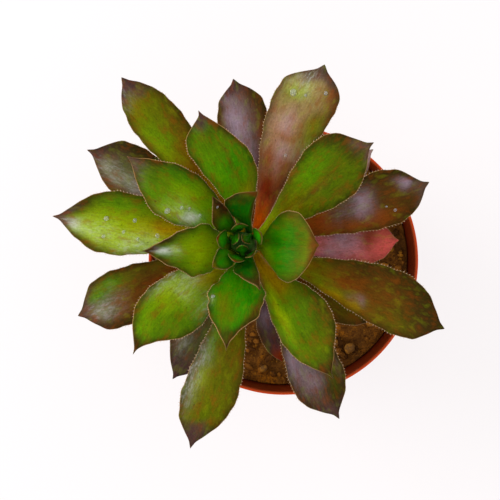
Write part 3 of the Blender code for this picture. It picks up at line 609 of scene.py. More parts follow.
def pot_skin():
    """Satin moulded plastic with faint flow marks and dust, a painted highlight on its lip and painted shade
    inside.
    """
    plastic = linear(settings().pot.plastic)
    skin = Skin(
        "terracotta_plastic", Specular_IOR_Level=0.28, Specular_Tint=PLASTIC_SHEEN,
        Subsurface_Weight=0.04, Subsurface_Scale=0.002,
    )
    where = skin.position()
    flow = skin.noise(skin.times(where, FLOW_MARKS), 1.0)
    fine = skin.noise(where, 2600.0, 2.0, 0.6)
    dust = skin.noise(where, 90.0, 5.0, 0.65)
    tint = skin.mix(plastic * 0.86, np.clip(plastic * 1.14, 0.0, 1.0), flow)
    tint = skin.mix(tint, linear(DUST), dust.above(0.60, 0.80) * 0.30)
    # Painted shade on the inside wall, darker further down.
    tint = skin.mix(tint, linear(INSIDE_SHADE_RED), skin.painted("inside") * (0.85 + 0.3 * dust))
    # Painted highlight along the lip and the band's lower edge.
    tint = skin.mix(tint, linear(LIP_HIGHLIGHT), skin.painted("edge") * (0.75 + 0.3 * flow))
    scuffs = skin.noise(skin.times(where, SCUFFS), 1.0, 4.0, 0.7)
    skin.bump(fine * 0.6 + flow * 0.4 + scuffs * 0.5, 0.00008, 0.6)
    return skin.set(Base_Color=tint, Roughness=0.36 + dust * 0.22 + scuffs.above(0.62, 0.72) * 0.12)


OCHRE = (0.74, 0.44, 0.04)  # dry bark fines in the peat
RUSTY = (0.68, 0.42, 0.08)  # stains on the grit


def soil_skin(name, pale):
    """Peat and bark fines: the painted colour of each crumb over fibres, darker in the hollows of the bumps
    and lighter on their rises.
    """
    soil = settings().soil
    dark = linear(soil.dark)
    skin = Skin(name, Specular_IOR_Level=0.15)
    where = skin.position()
    lumps = skin.noise(where, 260.0, 6.0, 0.7)
    fine = skin.noise(where, 1500.0, 5.0, 0.7)
    stops = [(0.28, dark * 0.55), (0.46, dark), (0.68, linear(soil.light))]
    shade = skin.add("ShaderNodeValToRGB", {"stops": stops}, {"Fac": lumps * 0.55 + fine * 0.45})
    tint = skin.mix(shade, skin.painted("pigment", "Color"), pale)
    patches = skin.noise(where, 120.0, 4.0, 0.6)
    tint = skin.mix(tint, linear(OCHRE), patches.above(0.55, 0.70) * fine.above(0.40, 0.60) * 0.75)
    tint = skin.mix(tint, dark * 0.45, (1.0 - patches).above(0.52, 0.66) * 0.65)
    sandy = skin.cells(where, 620.0)
    tint = skin.mix(tint, linear(soil.sand), (1.0 - sandy.above(0.16, 0.26)) * fine.above(0.48, 0.6) * 0.7)
    tint = skin.mix(tint, dark * 0.5, (1.0 - fine.above(0.34, 0.46)) * 0.6)
    skin.bump(lumps * 0.5 + fine * 0.5, 0.0007, 0.9)
    return skin.set(Base_Color=tint, Roughness=0.86 + fine * 0.12)


def stone_skin():
    soil = settings().soil
    skin = Skin("grit_stone", Specular_IOR_Level=0.3)
    where = skin.position()
    patches = skin.noise(where, 330.0, 4.0, 0.6)
    specks = skin.noise(where, 2200.0, 3.0, 0.6)
    tint = skin.mix(linear(soil.sand) * 0.8, linear(soil.stone) * 0.6, patches.above(0.45, 0.60))
    tint = skin.mix(tint, linear(soil.light), specks.above(0.55, 0.68) * 0.6)
    tint = skin.mix(tint, linear(RUSTY), (1.0 - patches).above(0.55, 0.68) * 0.7)
    skin.bump(patches * 0.5 + specks * 0.5, 0.0003, 0.8)
    return skin.set(Base_Color=tint, Roughness=0.66 + specks * 0.2)


FIBRES = (900.0, 900.0, 120.0)  # upright bark fibres, per metre
LIP_COLOUR = (0.66, 0.58, 0.46)  # the pale lip under a leaf scar


def stem_skin():
    stem = settings().stem
    skin = Skin("stem_bark", Specular_IOR_Level=0.25)
    where = skin.position()
    fibres = skin.noise(skin.times(where, FIBRES), 1.0, 4.0)
    spots = skin.noise(where, 700.0, 4.0, 0.65)
    tint = skin.mix(linear(stem.bark), linear(stem.bark) * 0.45, fibres.above(0.40, 0.66))
    tint = skin.mix(tint, linear(stem.green), skin.painted("young") * (0.6 + 0.4 * spots))
    tint = skin.mix(tint, linear(stem.scar), skin.painted("scar") * 0.85)
    tint = skin.mix(tint, linear(LIP_COLOUR), skin.painted("lip") * spots.above(0.42, 0.6) * 0.6)
    skin.bump(fibres * 0.5 + spots * 0.5, 0.0003, 0.8)
    return skin.set(Base_Color=tint, Roughness=0.62 + spots * 0.2)


def floor_skin():
    """A light table: it glows evenly, and what it reflects leaves only faint shadows."""
    stage = settings().stage
    skin = Skin("studio_floor", Specular_IOR_Level=0.0, Roughness=1.0, Emission_Strength=stage.glow)
    tone = linear(stage.floor)
    drift = skin.noise(skin.position(), 3.0, 2.0)
    return skin.set(Base_Color=skin.mix(tone * 0.98, tone, drift), Emission_Color=tone / tone.max())


# ---------------------------------------------------------------- reading the frame


def cad(node):
    """A node's points in mm, with doubled ones made one, and its faces."""
    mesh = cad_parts[node].data
    points = np.empty(len(mesh.vertices) * 3)
    mesh.vertices.foreach_get("co", points)
    points = points.reshape(-1, 3) / MM
    _, first, index = np.unique(np.round(points, 2), axis=0, return_index=True, return_inverse=True)
    index = index.reshape(-1)
    faces = [[int(index[i]) for i in polygon.vertices] for polygon in mesh.polygons]
    return points[first], faces


def smoothed(places, values, at):
    """A smooth curve through the values that never overshoots them."""
    places, values = np.asarray(places, float), np.asarray(values, float)
    steps = np.diff(places)
    slopes = np.diff(values) / steps
    tangents = np.concatenate(([slopes[0]], np.zeros(len(values) - 2), [slopes[-1]]))
    same = slopes[:-1] * slopes[1:] > 0
    before, after = 2 * steps[1:] + steps[:-1], steps[1:] + 2 * steps[:-1]
    with np.errstate(divide="ignore", invalid="ignore"):
        mean = (before + after) / (before / slopes[:-1] + after / slopes[1:])
    tangents[1:-1] = np.where(same, mean, 0.0)
    k = np.clip(np.searchsorted(places, at, side="right") - 1, 0, len(steps) - 1)
    t = (at - places[k]) / steps[k]
    start = values[k] * (1 + 2 * t) * (1 - t) ** 2 + tangents[k] * steps[k] * t * (1 - t) ** 2
    end = values[k + 1] * t * t * (3 - 2 * t) + tangents[k + 1] * steps[k] * t * t * (t - 1)
    return start + end


RING_POINTS = 8  # of each cross-section that the frame's leaves are built from
SOFTENING = 0.035  # the share of a leaf's length over which its sections are evened out
SHOULDER = (0.885, 0.045, 0.07)  # where a leaf's shoulders are, how long they are, and how much fuller
POINT = (0.972, 0.022, 0.24)  # where a leaf's point is, how long it is, and how much it is drawn in
MARGIN_SHAPE = (2.4, 0.58)  # powers that round a section off at its margins
FOOT_CALM, TIP_CALM = 0.15, 0.12  # shares of the length over which the waves die out at foot and tip
FULL_WAVE_REACH = 8.0  # a blade with this half-width in mm or more waves fully
SWELL_SPAN = (9.0, 7.0)  # lengths in mm, along and across, of the blade's soft swells
RIPPLE_SPANS = (2.3, 5.1)  # of the two waves that make a margin rise and fall
SWAY_SPANS = (1.5, 0.7)  # of the two waves that move it in and out
SWAY = 0.4  # how far it moves in and out, against how far it rises and falls
GROOVE_WIDTH, KEEL_WIDTH = 0.16, 0.22  # shares of the half-width


def hump(values, middle, reach):
    """1 at the middle, falling smoothly to nothing on both sides."""
    return np.exp(-(((values - middle) / reach) ** 2))


class Blade:
    """A leaf of the frame, read back as its chord, its centre line, its margins and its thickness."""

    def __init__(self, node):
        points, faces = cad(node)
        tip, rings = self.rings(points, faces)
        foot = points[list(rings[-1])]
        middle = foot.mean(axis=0)
        # The chord stands square on the foot's section, whose widest span runs across the leaf.
        along = np.linalg.svd(foot - middle)[2][2]
        along *= np.sign((points[tip] - middle) @ along)
        start, end = max(product(foot, foot), key=lambda pair: np.linalg.norm(pair[0] - pair[1]))
        across = end - start
        across -= (across @ along) * along
        across /= np.linalg.norm(across)
        if np.cross(along, across)[2] < 0:
            across = -across
        self.axes = np.array([along, across, np.cross(along, across)])
        self.length = float((points[tip] - middle) @ along)
        self.origin = points[tip] - self.length * along
        rows = [self.section(points[list(ring)]) for ring in rings[::-1]]
        rows.append((1.0, 0.0, 0.0, 0.0, 0.0, 0.0, 0.0, 0.0))
        self.table = np.array(rows).T
        self.wave = LOOKS[node].wave

    @staticmethod
    def rings(points, faces):
        """The tip, and the points of each cross-section from the one next to the tip to the foot's."""
        near = [set() for _ in points]
        for face in faces:
            for i in face:
                near[i].update(face)
        for tip in range(len(points)):
            if len(near[tip]) != RING_POINTS + 1:
                continue
            seen, layer, layers = {tip}, {tip}, []
            while layer:
                layer = set().union(*(near[i] for i in layer)) - seen
                seen |= layer
                layers.append(layer)
            if all(len(found) == RING_POINTS for found in layers[:-1]):
                return tip, layers[:-1]
        raise RuntimeError("a leaf of the frame isn't built from rings of eight points")

    def section(self, ring):
        """Where the section is, its middle, its top and bottom, and its left and right margins."""
        x, y, z = ((ring - self.origin) @ self.axes.T).T
        order = np.argsort(-y)
        middle = order[3:5]
        return (
            x.mean() / self.length,
            y[middle].mean(),
            z[middle].max(),
            z[middle].min(),
            y[order[0]],
            z[order[0]],
            y[order[-1]],
            z[order[-1]],
        )

    def at(self, along):
        """The section's numbers at each place along the leaf; places below 0 run on into the stem."""
        soft = np.clip(SOFTENING * (1 - along) / 0.2, 0.004, SOFTENING)
        places = [np.clip(along + shift * soft, 0.0, 1.0) for shift in (-1.0, -0.33, 0.33, 1.0)]
        start, *rows = self.table
        return [np.mean([smoothed(start, row, at) for at in places], axis=0) for row in rows]

    def surface(self, along, across, side, details):
        """Points in mm on the upper (side 1) or lower (side -1) face."""
        middle, top, bottom, left_y, left_z, right_y, right_z = self.at(along)
        reach = np.where(across >= 0, left_y - middle, middle - right_y)
        fuller = SHOULDER[2] * hump(along, *SHOULDER[:2])
        reach = reach * (1 + fuller - POINT[2] * hump(along, *POINT[:2]))
        edge = np.where(across >= 0, left_z, right_z)
        centre = (top + bottom) / 2
        flat, round_off = MARGIN_SHAPE
        thick = (top - bottom) / 2 * np.maximum(0.0, 1 - np.abs(across) ** flat) ** round_off
        y = middle + across * reach
        z = centre + (edge - centre) * across**2 + side * thick
        fade = np.clip(along / FOOT_CALM, 0.0, 1.0) * np.clip((1 - along) / TIP_CALM, 0.0, 1.0)
        fade = fade * np.clip(reach / FULL_WAVE_REACH, 0.0, 1.0)
        mm = along * self.length
        seed = self.length * 7.3  # so that no two leaves wave alike
        long, wide = SWELL_SPAN
        swell = [noise.noise(Vector((a / long, b / wide, seed))) for a, b in zip(mm, y)]
        z += details.swell * np.array(swell) * 1.6 * fade
        ripple = details.ripple * self.wave
        short, long = RIPPLE_SPANS
        wave = np.sin(mm / short + seed + 2.0 * np.sign(across)) * np.sin(mm / long + 0.7 * seed)
        z += ripple * wave * np.abs(across) ** 3 * fade
        coarse, fine = SWAY_SPANS
        sway = np.cos(mm / coarse + seed + np.sign(across)) + 0.5 * np.cos(mm / fine + 2 * seed)
        y += SWAY * ripple * sway * across * np.abs(across) * fade
        dip = details.groove * hump(across, 0.0, GROOVE_WIDTH) * np.clip(1.1 - along, 0.0, 1.0)
        ridge = details.keel * hump(across, 0.0, KEEL_WIDTH) * np.clip(along * 1.4, 0.0, 1.0)
        z -= np.where(side > 0, dip, ridge) * fade
        return self.origin + np.stack([mm, y, z], axis=1) @ self.axes


# ---------------------------------------------------------------- meshes


def piece(name, points, faces, materials, replaced=(), attributes=None, face_materials=None):
    """A smooth mesh object from points in mm, riding on the body and standing for its CAD nodes."""
    mesh = bpy.data.meshes.new(name)
    mesh.from_pydata((np.asarray(points) * MM).tolist(), [], faces)
    for material in materials:
        mesh.materials.append(material)
    if face_materials is not None:
        mesh.polygons.foreach_set("material_index", face_materials)
    for key, values in (attributes or {}).items():
        values = np.asarray(values, np.float32)
        if values.ndim == 1:
            mesh.attributes.new(key, "FLOAT", "POINT").data.foreach_set("value", values)
        elif values.shape[1] == 4:
            mesh.attributes.new(key, "FLOAT_COLOR", "POINT").data.foreach_set("color", values.ravel())
        else:
            mesh.attributes.new(key, "FLOAT_VECTOR", "POINT").data.foreach_set("vector", values.ravel())
    mesh.shade_smooth()
    mesh.update()
    obj = placed(name, mesh)
    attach(obj, BODY)
    if replaced:
        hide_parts(*replaced)
    return obj


def placed(name, data):
    """A new object in the scene."""
    obj = bpy.data.objects.new(name, data)
    bpy.context.scene.collection.objects.link(obj)
    return obj


def tube(rows, around):
    """The point numbers of a tube's rows, and its open sides as faces."""
    index = np.arange(rows * around).reshape(rows, around)
    ring = np.roll(index, -1, axis=1)
    quads = np.stack([index[:-1], ring[:-1], ring[1:], index[1:]], axis=-1).reshape(-1, 4)
    return index, [tuple(map(int, quad)) for quad in quads]


def cap(row):
    """One face that closes a row of points."""
    return tuple(int(i) for i in row)


def fan(row, tip):
    """Faces from a row of points to one point past it."""
    return [(int(a), int(b), tip) for a, b in zip(row, np.roll(row, -1))]


def turns(count):
    return np.linspace(0, 2 * math.pi, count, endpoint=False)


def step(values, low, high):
    """0 below low and 1 above high, with a smooth step between."""
    t = np.clip((values - low) / (high - low), 0.0, 1.0)
    return t * t * (3 - 2 * t)


def blended(under, over, share):
    return under + (over - under) * share[:, None]


LIGHT_SIDE = np.array([-0.7, -0.7])  # towards the window, seen from above
HALF_CONTRAST = 0.35  # how much a leaf's two halves differ
MARGIN_PAINTED_SHADE = 0.50  # how much painted shade darkens a leaf's colour at its margin
TIP_SHADE = 0.25  # how much deeper it is at its tip
BAND_WIDTH = 1.8  # width in mm of the dark band along a margin
FOOT_BLEND, TIP_BLEND = (0.10, 0.34), (0.85, 0.94)  # where a leaf's colours change, along it
UNDERSIDE_BLOOM = 0.45

# Places across a blade, from its left margin to its right, closest together near the margins.
HALF_ACROSS = np.array([1.0, 0.985, 0.955, 0.91, 0.85, 0.77, 0.68, 0.58, 0.47, 0.36, 0.25, 0.16, 0.08])
ACROSS = np.concatenate([HALF_ACROSS, [0.0], -HALF_ACROSS[::-1]])


def leaf_stations(count, clasp, length):
    """Places along a leaf, close together near its point, with two more inside the stem."""
    share = np.linspace(0.0, 1.0, count)
    inside = np.array([-clasp, -clasp / 2]) / length
    return np.concatenate([inside, 1 - (1 - share[:-1]) ** 1.12])


def paint(blade, picture, rank, along, across, side, rim):
    """The pigment, wax bloom and painted sheen of each point of a leaf; the pigment also holds painted light
    and shade.
    """
    colours = settings().colours

    def shade(name):
        return linear(getattr(colours, name))

    n = len(along)
    wander = np.array([
        noise.noise(Vector((a * blade.length / 6.0, b * 1.7, blade.length))) for a, b in zip(along, across)
    ])
    place = along + 0.05 * wander
    upper = np.tile(shade(picture.blade), (n, 1))
    upper = blended(upper, shade(picture.foot), 1 - step(place, *FOOT_BLEND))
    bloom, shine = np.zeros(n), np.zeros(n)
    for touch in picture.touches:
        ahead = (place - touch.along) / touch.length
        aside = (across + 0.15 * wander - touch.across) / touch.width
        share = touch.strength * np.exp(-0.75 * (ahead**2 + aside**2))
        upper = blended(upper, shade(touch.colour), share)
        bloom = bloom * (1 - share) + share * BLOOM.get(touch.colour, 0.0)
        # Sheen colours raise the shine, which is painted sheen.
        shine = shine * (1 - share) + share * SHINE.get(touch.colour, 0.0)
    band = picture.band * hump(rim, 0.0, BAND_WIDTH) * step(along, 0.20, 0.70)
    upper = blended(upper, shade("umber"), band)
    upper = blended(upper, shade(picture.tip), step(place, *TIP_BLEND))
    upper *= (1 - TIP_SHADE * step(place, 0.90, 0.98))[:, None]
    # The half that faces the window is the lighter one.
    lit = across * float(blade.axes[1][:2] @ LIGHT_SIDE)
    upper *= (1 + HALF_CONTRAST * lit * step(along, 0.1, 0.4))[:, None]
    # Painted light and shade, as on a cupped blade: the middle lighter and the margins darker.
    upper *= (1.15 - MARGIN_PAINTED_SHADE * np.abs(across) ** 3)[:, None]
    foot, middle = UNDERSIDES[rank]
    lower = np.tile(shade(middle), (n, 1))
    lower = blended(lower, shade(foot), 1 - step(place, 0.15, 0.45))
    lower = blended(lower, shade("plum"), 0.8 * step(place, 0.80, 0.97))
    lower = blended(lower, shade("wine"), 0.35 * hump(across, 0.0, 0.2))
    below = side < 0
    pigment = np.where(below[:, None], lower, upper)
    return pigment, np.where(below, UNDERSIDE_BLOOM, bloom), np.where(below, 0.0, shine)


FULL_HAIR_LEAF = 60.0  # a leaf of this length in mm or more has hairs of full size
HAIR_RUN = (0.03, 0.84)  # the stretch of the margin, along the leaf, that has hairs
HAIR_ROOT = 0.12  # how deep a hair stands in the margin, in mm


def along_line(line, run, at):
    """The point of a line at a distance along it."""
    return np.array([np.interp(at, run, line[:, i]) for i in range(3)])


def margin_hairs(blade, details, draw):
    """Short three-sided hairs that lean towards the tip, as points and faces."""
    points, faces = [], []
    size = float(np.clip((blade.length / FULL_HAIR_LEAF) ** 2, 0.12, 1.0))
    fine = np.linspace(*HAIR_RUN, 400)
    for hand in (1.0, -1.0):
        line = blade.surface(fine, np.full_like(fine, hand), np.ones_like(fine), details)
        inner = blade.surface(fine, np.full_like(fine, hand * 0.9), np.ones_like(fine), details)
        run = np.concatenate([[0.0], np.cumsum(np.linalg.norm(np.diff(line, axis=0), axis=1))])
        for at in np.arange(0.3, run[-1], details.hair_gap * (0.4 + 0.6 * size)):
            at = at + draw.uniform(-0.12, 0.12)
            root = along_line(line, run, at)
            ahead = along_line(line, run, at + 0.4) - root
            back = root - along_line(inner, run, at)
            if np.linalg.norm(ahead) < 1e-6 or np.linalg.norm(back) < 1e-6:
                continue
            ahead /= np.linalg.norm(ahead)
            out = back - (back @ ahead) * ahead
            out /= max(np.linalg.norm(out), 1e-6)
            up = np.cross(ahead, out)
            lean = out + draw.uniform(0.2, 0.7) * ahead + draw.uniform(-0.25, 0.25) * up
            lean /= np.linalg.norm(lean)
            length = details.hair_length * size * draw.uniform(0.5, 1.15)
            half = details.hair_width * size**0.5 / 2
            base = len(points)
            root = root - out * HAIR_ROOT
            for angle in turns(3):
                points.append(root + half * (math.cos(angle) * ahead + math.sin(angle) * up))
            points.append(root + (length + HAIR_ROOT) * lean)
            faces += [(base, base + 1, base + 3), (base + 1, base + 2, base + 3), (base + 2, base, base + 3)]
            faces.append((base + 2, base + 1, base))
    return points, faces


def build_leaf(node, materials, draw):
    details = settings().leaves
    rank = node.rsplit("_", 1)[0]
    blade = Blade(node)
    stations = leaf_stations(details.stations, details.clasp, blade.length)
    lap = np.concatenate([ACROSS, ACROSS[-2:0:-1]])
    faces_of = np.concatenate([np.ones(len(ACROSS)), -np.ones(len(ACROSS) - 2)])
    along = np.repeat(stations, len(lap))
    across = np.tile(lap, len(stations))
    side = np.tile(faces_of, len(stations))
    points = blade.surface(along, across, side, details)
    index, faces = tube(len(stations), len(lap))
    faces.append(cap(index[0][::-1]))
    faces += fan(index[-1], len(points))
    points = np.vstack([points, blade.origin + blade.length * blade.axes[0]])
    along, across, side = np.append(along, 1.0), np.append(across, 0.0), np.append(side, 1.0)
    middle, _, _, left_y, _, right_y, _ = blade.at(along)
    reach = np.where(across >= 0, left_y - middle, middle - right_y)
    rim = (1 - np.abs(across)) * reach
    picture = LOOKS[node]
    pigment, bloom, shine = paint(blade, picture, rank, along, across, side, rim)
    piping = picture.piping * (1 - 0.75 * step(along, 0.88, 0.97)) * step(along, -0.02, 0.05)
    skin_faces = len(faces)
    hair_points, hair_faces = margin_hairs(blade, details, draw)
    start = len(points)
    points = np.vstack([points, np.array(hair_points)])
    faces += [tuple(i + start for i in face) for face in hair_faces]
    extra = len(hair_points)

    def padded(values, filler):
        return np.concatenate([values, np.full(extra, filler)])

    # The place on the blade in mm, moved for each leaf and face so that no two patterns are alike.
    position = np.stack([
        padded(along * blade.length, 0.0),
        padded(across * reach, 0.0) + 40.0 * (name_number(node) % 97),
        padded(side * 3.0, 0.0),
    ], axis=1)
    tint = np.ones((len(points), 4))
    tint[:len(pigment), :3] = pigment
    attributes = {
        "pigment": tint,
        "blade": position,
        "bloom": padded(bloom, 0.0),
        "shine": padded(shine, 0.0),
        "rim": padded(rim, 0.0),
        "piping": padded(piping, 1.0),
    }
    kinds = np.zeros(len(faces), np.int32)
    kinds[skin_faces:] = 1
    return piece(node + "_blade", points, faces, materials, (node,), attributes, kinds)


def name_number(name):
    """A small whole number that is always the same for a name."""
    return sum((i + 1) * ord(letter) for i, letter in enumerate(name))


def turned(profile, steps):
    """Points and faces of a profile of (radius, height) points turned about Z, with flat ends."""
    profile = np.asarray(profile, float)
    radius, height, angles = profile[:, :1], profile[:, 1:], turns(steps)
    grid = np.stack([radius * np.cos(angles), radius * np.sin(angles), height + 0 * angles], axis=-1)
    index, faces = tube(len(profile), steps)
    return grid.reshape(-1, 3), [*faces, cap(index[0][::-1]), cap(index[-1])]


def rounded(corners, radius):
    """A path with each inner corner replaced by a short curve."""
    corners = [Vector(corner) for corner in corners]
    path = [corners[0]]
    for before, corner, after in zip(corners, corners[1:], corners[2:]):
        back, on = before - corner, after - corner
        reach = min(radius, 0.45 * back.length, 0.45 * on.length)
        start, end = corner + back.normalized() * reach, corner + on.normalized() * reach
        for t in np.linspace(0.0, 1.0, 6):
            path.append(start * (1 - t) ** 2 + corner * 2 * t * (1 - t) + end * t * t)
    path.append(corners[-1])
    return path


AXIS = 0.001  # the radius in mm at which a turned surface ends beside its axis
FOOT_BEVEL = 1.0  # the bevels of the pot's foot and of its lip, in mm
LIP_BEVEL = 0.5
LIP_TOP = 0.1  # how far the lip's flat top is drawn in from its sides, in mm
CORNER_ROUND = 0.7  # how far each corner of the profile is rounded, in mm
POT_STEPS = 200
EDGE_HIGHLIGHT_HEIGHT = 0.5  # height in mm of the painted highlights on the edges of the lip and of the band
SHADY_DEPTH = 6.0  # how far below the lip the painted shade inside is at its darkest, in mm


def pot_size():
    """The rim's radius and the pot's height, in mm."""
    low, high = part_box("pot")
    return (high[0] - low[0]) / 2 / MM, high[2] / MM


def pot_profile():
    """(radius, height) of the pot from the middle of its underside, up the outside and down the inside."""
    pot = settings().pot
    rim, top = pot_size()
    foot, wall = pot.foot_diameter / 2, pot.wall
    band, under = rim - pot.band_flare, top - pot.band_height
    body = band - pot.band_step
    return [
        (AXIS, 0.0), (foot - FOOT_BEVEL, 0.0), (foot, FOOT_BEVEL),
        (body, under - wall / 2), (band, under + wall / 2), (rim, top - LIP_BEVEL),
        (rim - LIP_TOP, top), (rim - wall + LIP_TOP, top), (rim - wall, top - LIP_BEVEL),
        (band - wall, under + wall / 2), (body - wall, under - wall / 2),
        (foot - wall, pot.floor + FOOT_BEVEL), (foot - wall - FOOT_BEVEL, pot.floor), (AXIS, pot.floor),
    ]


def inside_radius(height):
    pot = settings().pot
    rim, top = pot_size()
    foot, band, under = pot.foot_diameter / 2, rim - pot.band_flare, top - pot.band_height
    heights = (0.0, under - pot.wall / 2, under + pot.wall / 2, top)
    return float(np.interp(height, heights, (foot, band - pot.band_step, band, rim))) - pot.wall


def build_pot():
    pot = settings().pot
    points, faces = turned(rounded(pot_profile(), CORNER_ROUND), POT_STEPS)
    rim, top = pot_size()
    height = points[:, 2]
    outer = np.hypot(points[:, 0], points[:, 1])
    outside = step(outer, rim - 0.8, rim - 0.3)
    # Painted highlight on the lip, and at half strength on the band's lower edge.
    band_foot = hump(height, top - pot.band_height + 0.7, EDGE_HIGHLIGHT_HEIGHT) * (outer > rim - pot.band_flare - 0.4)
    edge = hump(height, top, EDGE_HIGHLIGHT_HEIGHT) * outside + 0.5 * band_foot
    # Painted shade inside the pot, darkest from SHADY_DEPTH below the lip downwards.
    deep = 0.45 + 0.55 * (1 - step(height, top - SHADY_DEPTH, top - 0.6))
    past_lip = np.arange(len(points)) > int(np.argmax(height))
    paints = {"edge": np.clip(edge, 0, 1), "inside": np.where(past_lip, (1 - outside) * deep, 0.0)}
    drill(piece("pot_body", points, faces, [pot_skin()], ("pot",), paints))


def drill(pot_body):
    """Cut the ring of drainage holes through the pot's floor."""
    pot = settings().pot
    half, depth = pot.hole_diameter / 2 * MM, 4 * pot.floor * MM
    bits = bmesh.new()
    for angle in turns(pot.holes):
        place = Matrix.Rotation(angle, 4, "Z") @ Matrix.Translation((pot.hole_ring / 2 * MM, 0, 0))
        bmesh.ops.create_cone(
            bits, cap_ends=True, segments=40, radius1=half, radius2=half, depth=depth, matrix=place
        )
    mesh = bpy.data.meshes.new("drill")
    bits.to_mesh(mesh)
    bits.free()
    tool = placed("drill", mesh)
    cut = pot_body.modifiers.new("drill", "BOOLEAN")
    cut.operation, cut.solver, cut.object = "DIFFERENCE", "EXACT", tool
    graph = bpy.context.evaluated_depsgraph_get()
    drilled = bpy.data.meshes.new_from_object(pot_body.evaluated_get(graph))
    pot_body.modifiers.clear()
    pot_body.data = drilled
    bpy.data.objects.remove(tool, do_unlink=True)
    drilled.shade_smooth()
    drilled.set_sharp_from_angle(angle=math.radians(50))
    if not drilled.polygons:
        raise RuntimeError("drilling the pot left nothing")


SOIL_CLEARANCE = 0.35  # between the soil and the pot's wall, in mm
SOIL_RELIEF = 0.8  # how far the frame's soil rises above its usual level, in mm
STEM_HOLE_DEPTH = 3.0  # a deeper hit than this is inside the hole that the stem stands in


class SoilTop:
    """The height in mm of the frame's soil at a point; over the stem it is level."""

    def __init__(self, level):
        points, faces = cad("soil")
        self.tree = BVHTree.FromPolygons([Vector(point) for point in points], faces)
        self.level = level

    def at(self, x, y):
        where = self.tree.ray_cast(Vector((x, y, 1000.0)), Vector((0, 0, -1)))[0]
        return where.z if where and where.z > self.level - STEM_HOLE_DEPTH else self.level


def soil_levels():
    """The heights in mm of the soil's underside and of its surface."""
    low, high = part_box("soil")
    return low[2] / MM, high[2] / MM - SOIL_RELIEF


def build_soil():
    soil = settings().soil
    base, level = soil_levels()
    outer = inside_radius(level) - SOIL_CLEARANCE
    top = SoilTop(level)
    rings, around = 96, 260
    points, tones = [], []
    for radius in outer * np.linspace(0.004, 1.0, rings):
        for angle in turns(around):
            x, y = radius * math.cos(angle), radius * math.sin(angle)
            height = top.at(x * 0.985, y * 0.985)
            rough = noise.fractal(Vector((x / 3.4, y / 3.4, 1.7)), 1.0, 2.2, 5)
            grain = noise.noise(Vector((x / 0.9, y / 0.9, 4.0)))
            points.append((x, y, height + soil.crumble * (0.75 * rough + 0.25 * grain) - 0.3))
            # The soil's colour runs from dark where its surface is low to light where it is high.
            tones.append(0.5 + 0.5 * rough)
    wall = [(inside_radius(z) - SOIL_CLEARANCE, z) for z in np.linspace(level - 2, base + 1.2, 14)]
    wall.append((wall[-1][0] - 1.0, base))
    for radius, height in wall:
        points += [(radius * math.cos(angle), radius * math.sin(angle), height) for angle in turns(around)]
        tones += [0.5] * around
    index, faces = tube(rings + len(wall), around)
    # The rows run outwards and then down, so every face is turned over.
    faces = [(face[0], *face[:0:-1]) for face in faces]
    faces += [cap(index[0]), cap(index[-1][::-1])]
    tones = np.clip(np.array(tones), 0, 1)[:, None]
    pigment = linear(soil.dark) * (1 - tones) + linear(soil.light) * tones
    tint = np.hstack([pigment, np.ones((len(pigment), 1))])
    piece("soil_bed", points, faces, [soil_skin("peat", 0.35)], ("soil",), {"pigment": tint})


def lump(draw, squash, detail):
    """A rough stone or crumb about 1 mm across: points around its middle, and faces."""
    ball = bmesh.new()
    bmesh.ops.create_icosphere(ball, subdivisions=detail, radius=1.0)
    seed = draw.uniform(0, 100)
    stretch = np.array([draw.uniform(0.75, 1.25), draw.uniform(0.75, 1.1), squash])
    points = []
    for vert in ball.verts:
        coarse = noise.noise(vert.co * 1.3 + Vector((seed, 0, 0)))
        fine = noise.noise(vert.co * 3.1 + Vector((0, seed, 0)))
        points.append(np.array(vert.co) * (1 + 0.30 * coarse + 0.14 * fine) * stretch / 2)
    faces = [tuple(v.index for v in face.verts) for face in ball.faces]
    ball.free()
    return np.array(points), faces


def turned_about(points, angle, tilt):
    turn = np.array(Matrix.Rotation(angle, 3, "Z") @ Matrix.Rotation(tilt, 3, "X"))
    return points @ turn.T


SMALLEST_CRUMB = 0.5  # in mm
CRUMB_BIAS = 3.2  # the higher it is, the more of the crumbs are small
CRUMB_SHARES = (0.40, 0.38, 0.17, 0.05)  # of dark, light, sandy and stony crumbs


def build_crumbs():
    """Loose crumbs, bark fines and sand on the soil."""
    soil = settings().soil
    draw = np.random.default_rng(41)
    level = soil_levels()[1]
    outer = inside_radius(level) - 0.6
    top = SoilTop(level)
    shades = [linear(soil.dark), linear(soil.light), linear(soil.sand), linear(soil.stone)]
    kinds = [lump(draw, draw.uniform(0.5, 0.9), 1) for _ in range(14)]
    points, faces, tints = [], [], []
    count = 0
    for _ in range(soil.crumbs):
        size = SMALLEST_CRUMB + (soil.largest - SMALLEST_CRUMB) * draw.random() ** CRUMB_BIAS
        radius = (outer - size / 2) * math.sqrt(draw.random())
        angle = draw.uniform(0, 2 * math.pi)
        x, y = radius * math.cos(angle), radius * math.sin(angle)
        height = top.at(x, y)
        shape, sides = kinds[int(draw.integers(len(kinds)))]
        long = draw.uniform(1.0, 2.2) if draw.random() < 0.25 else 1.0
        local = shape * size * np.array([long, 1.0, 1.0])
        local = turned_about(local, draw.uniform(0, 6.3), draw.uniform(-0.7, 0.7))
        shade = shades[int(draw.choice(4, p=CRUMB_SHARES))] * draw.uniform(0.7, 1.25)
        points.append(local + np.array([x, y, height + size * draw.uniform(0.05, 0.35)]))
        faces += [tuple(i + count for i in side) for side in sides]
        tints.append(np.tile([*shade, 1.0], (len(local), 1)))
        count += len(local)
    attributes = {"pigment": np.vstack(tints)}
    piece("soil_crumbs", np.vstack(points), faces, [soil_skin("crumbs", 0.8)], (), attributes)


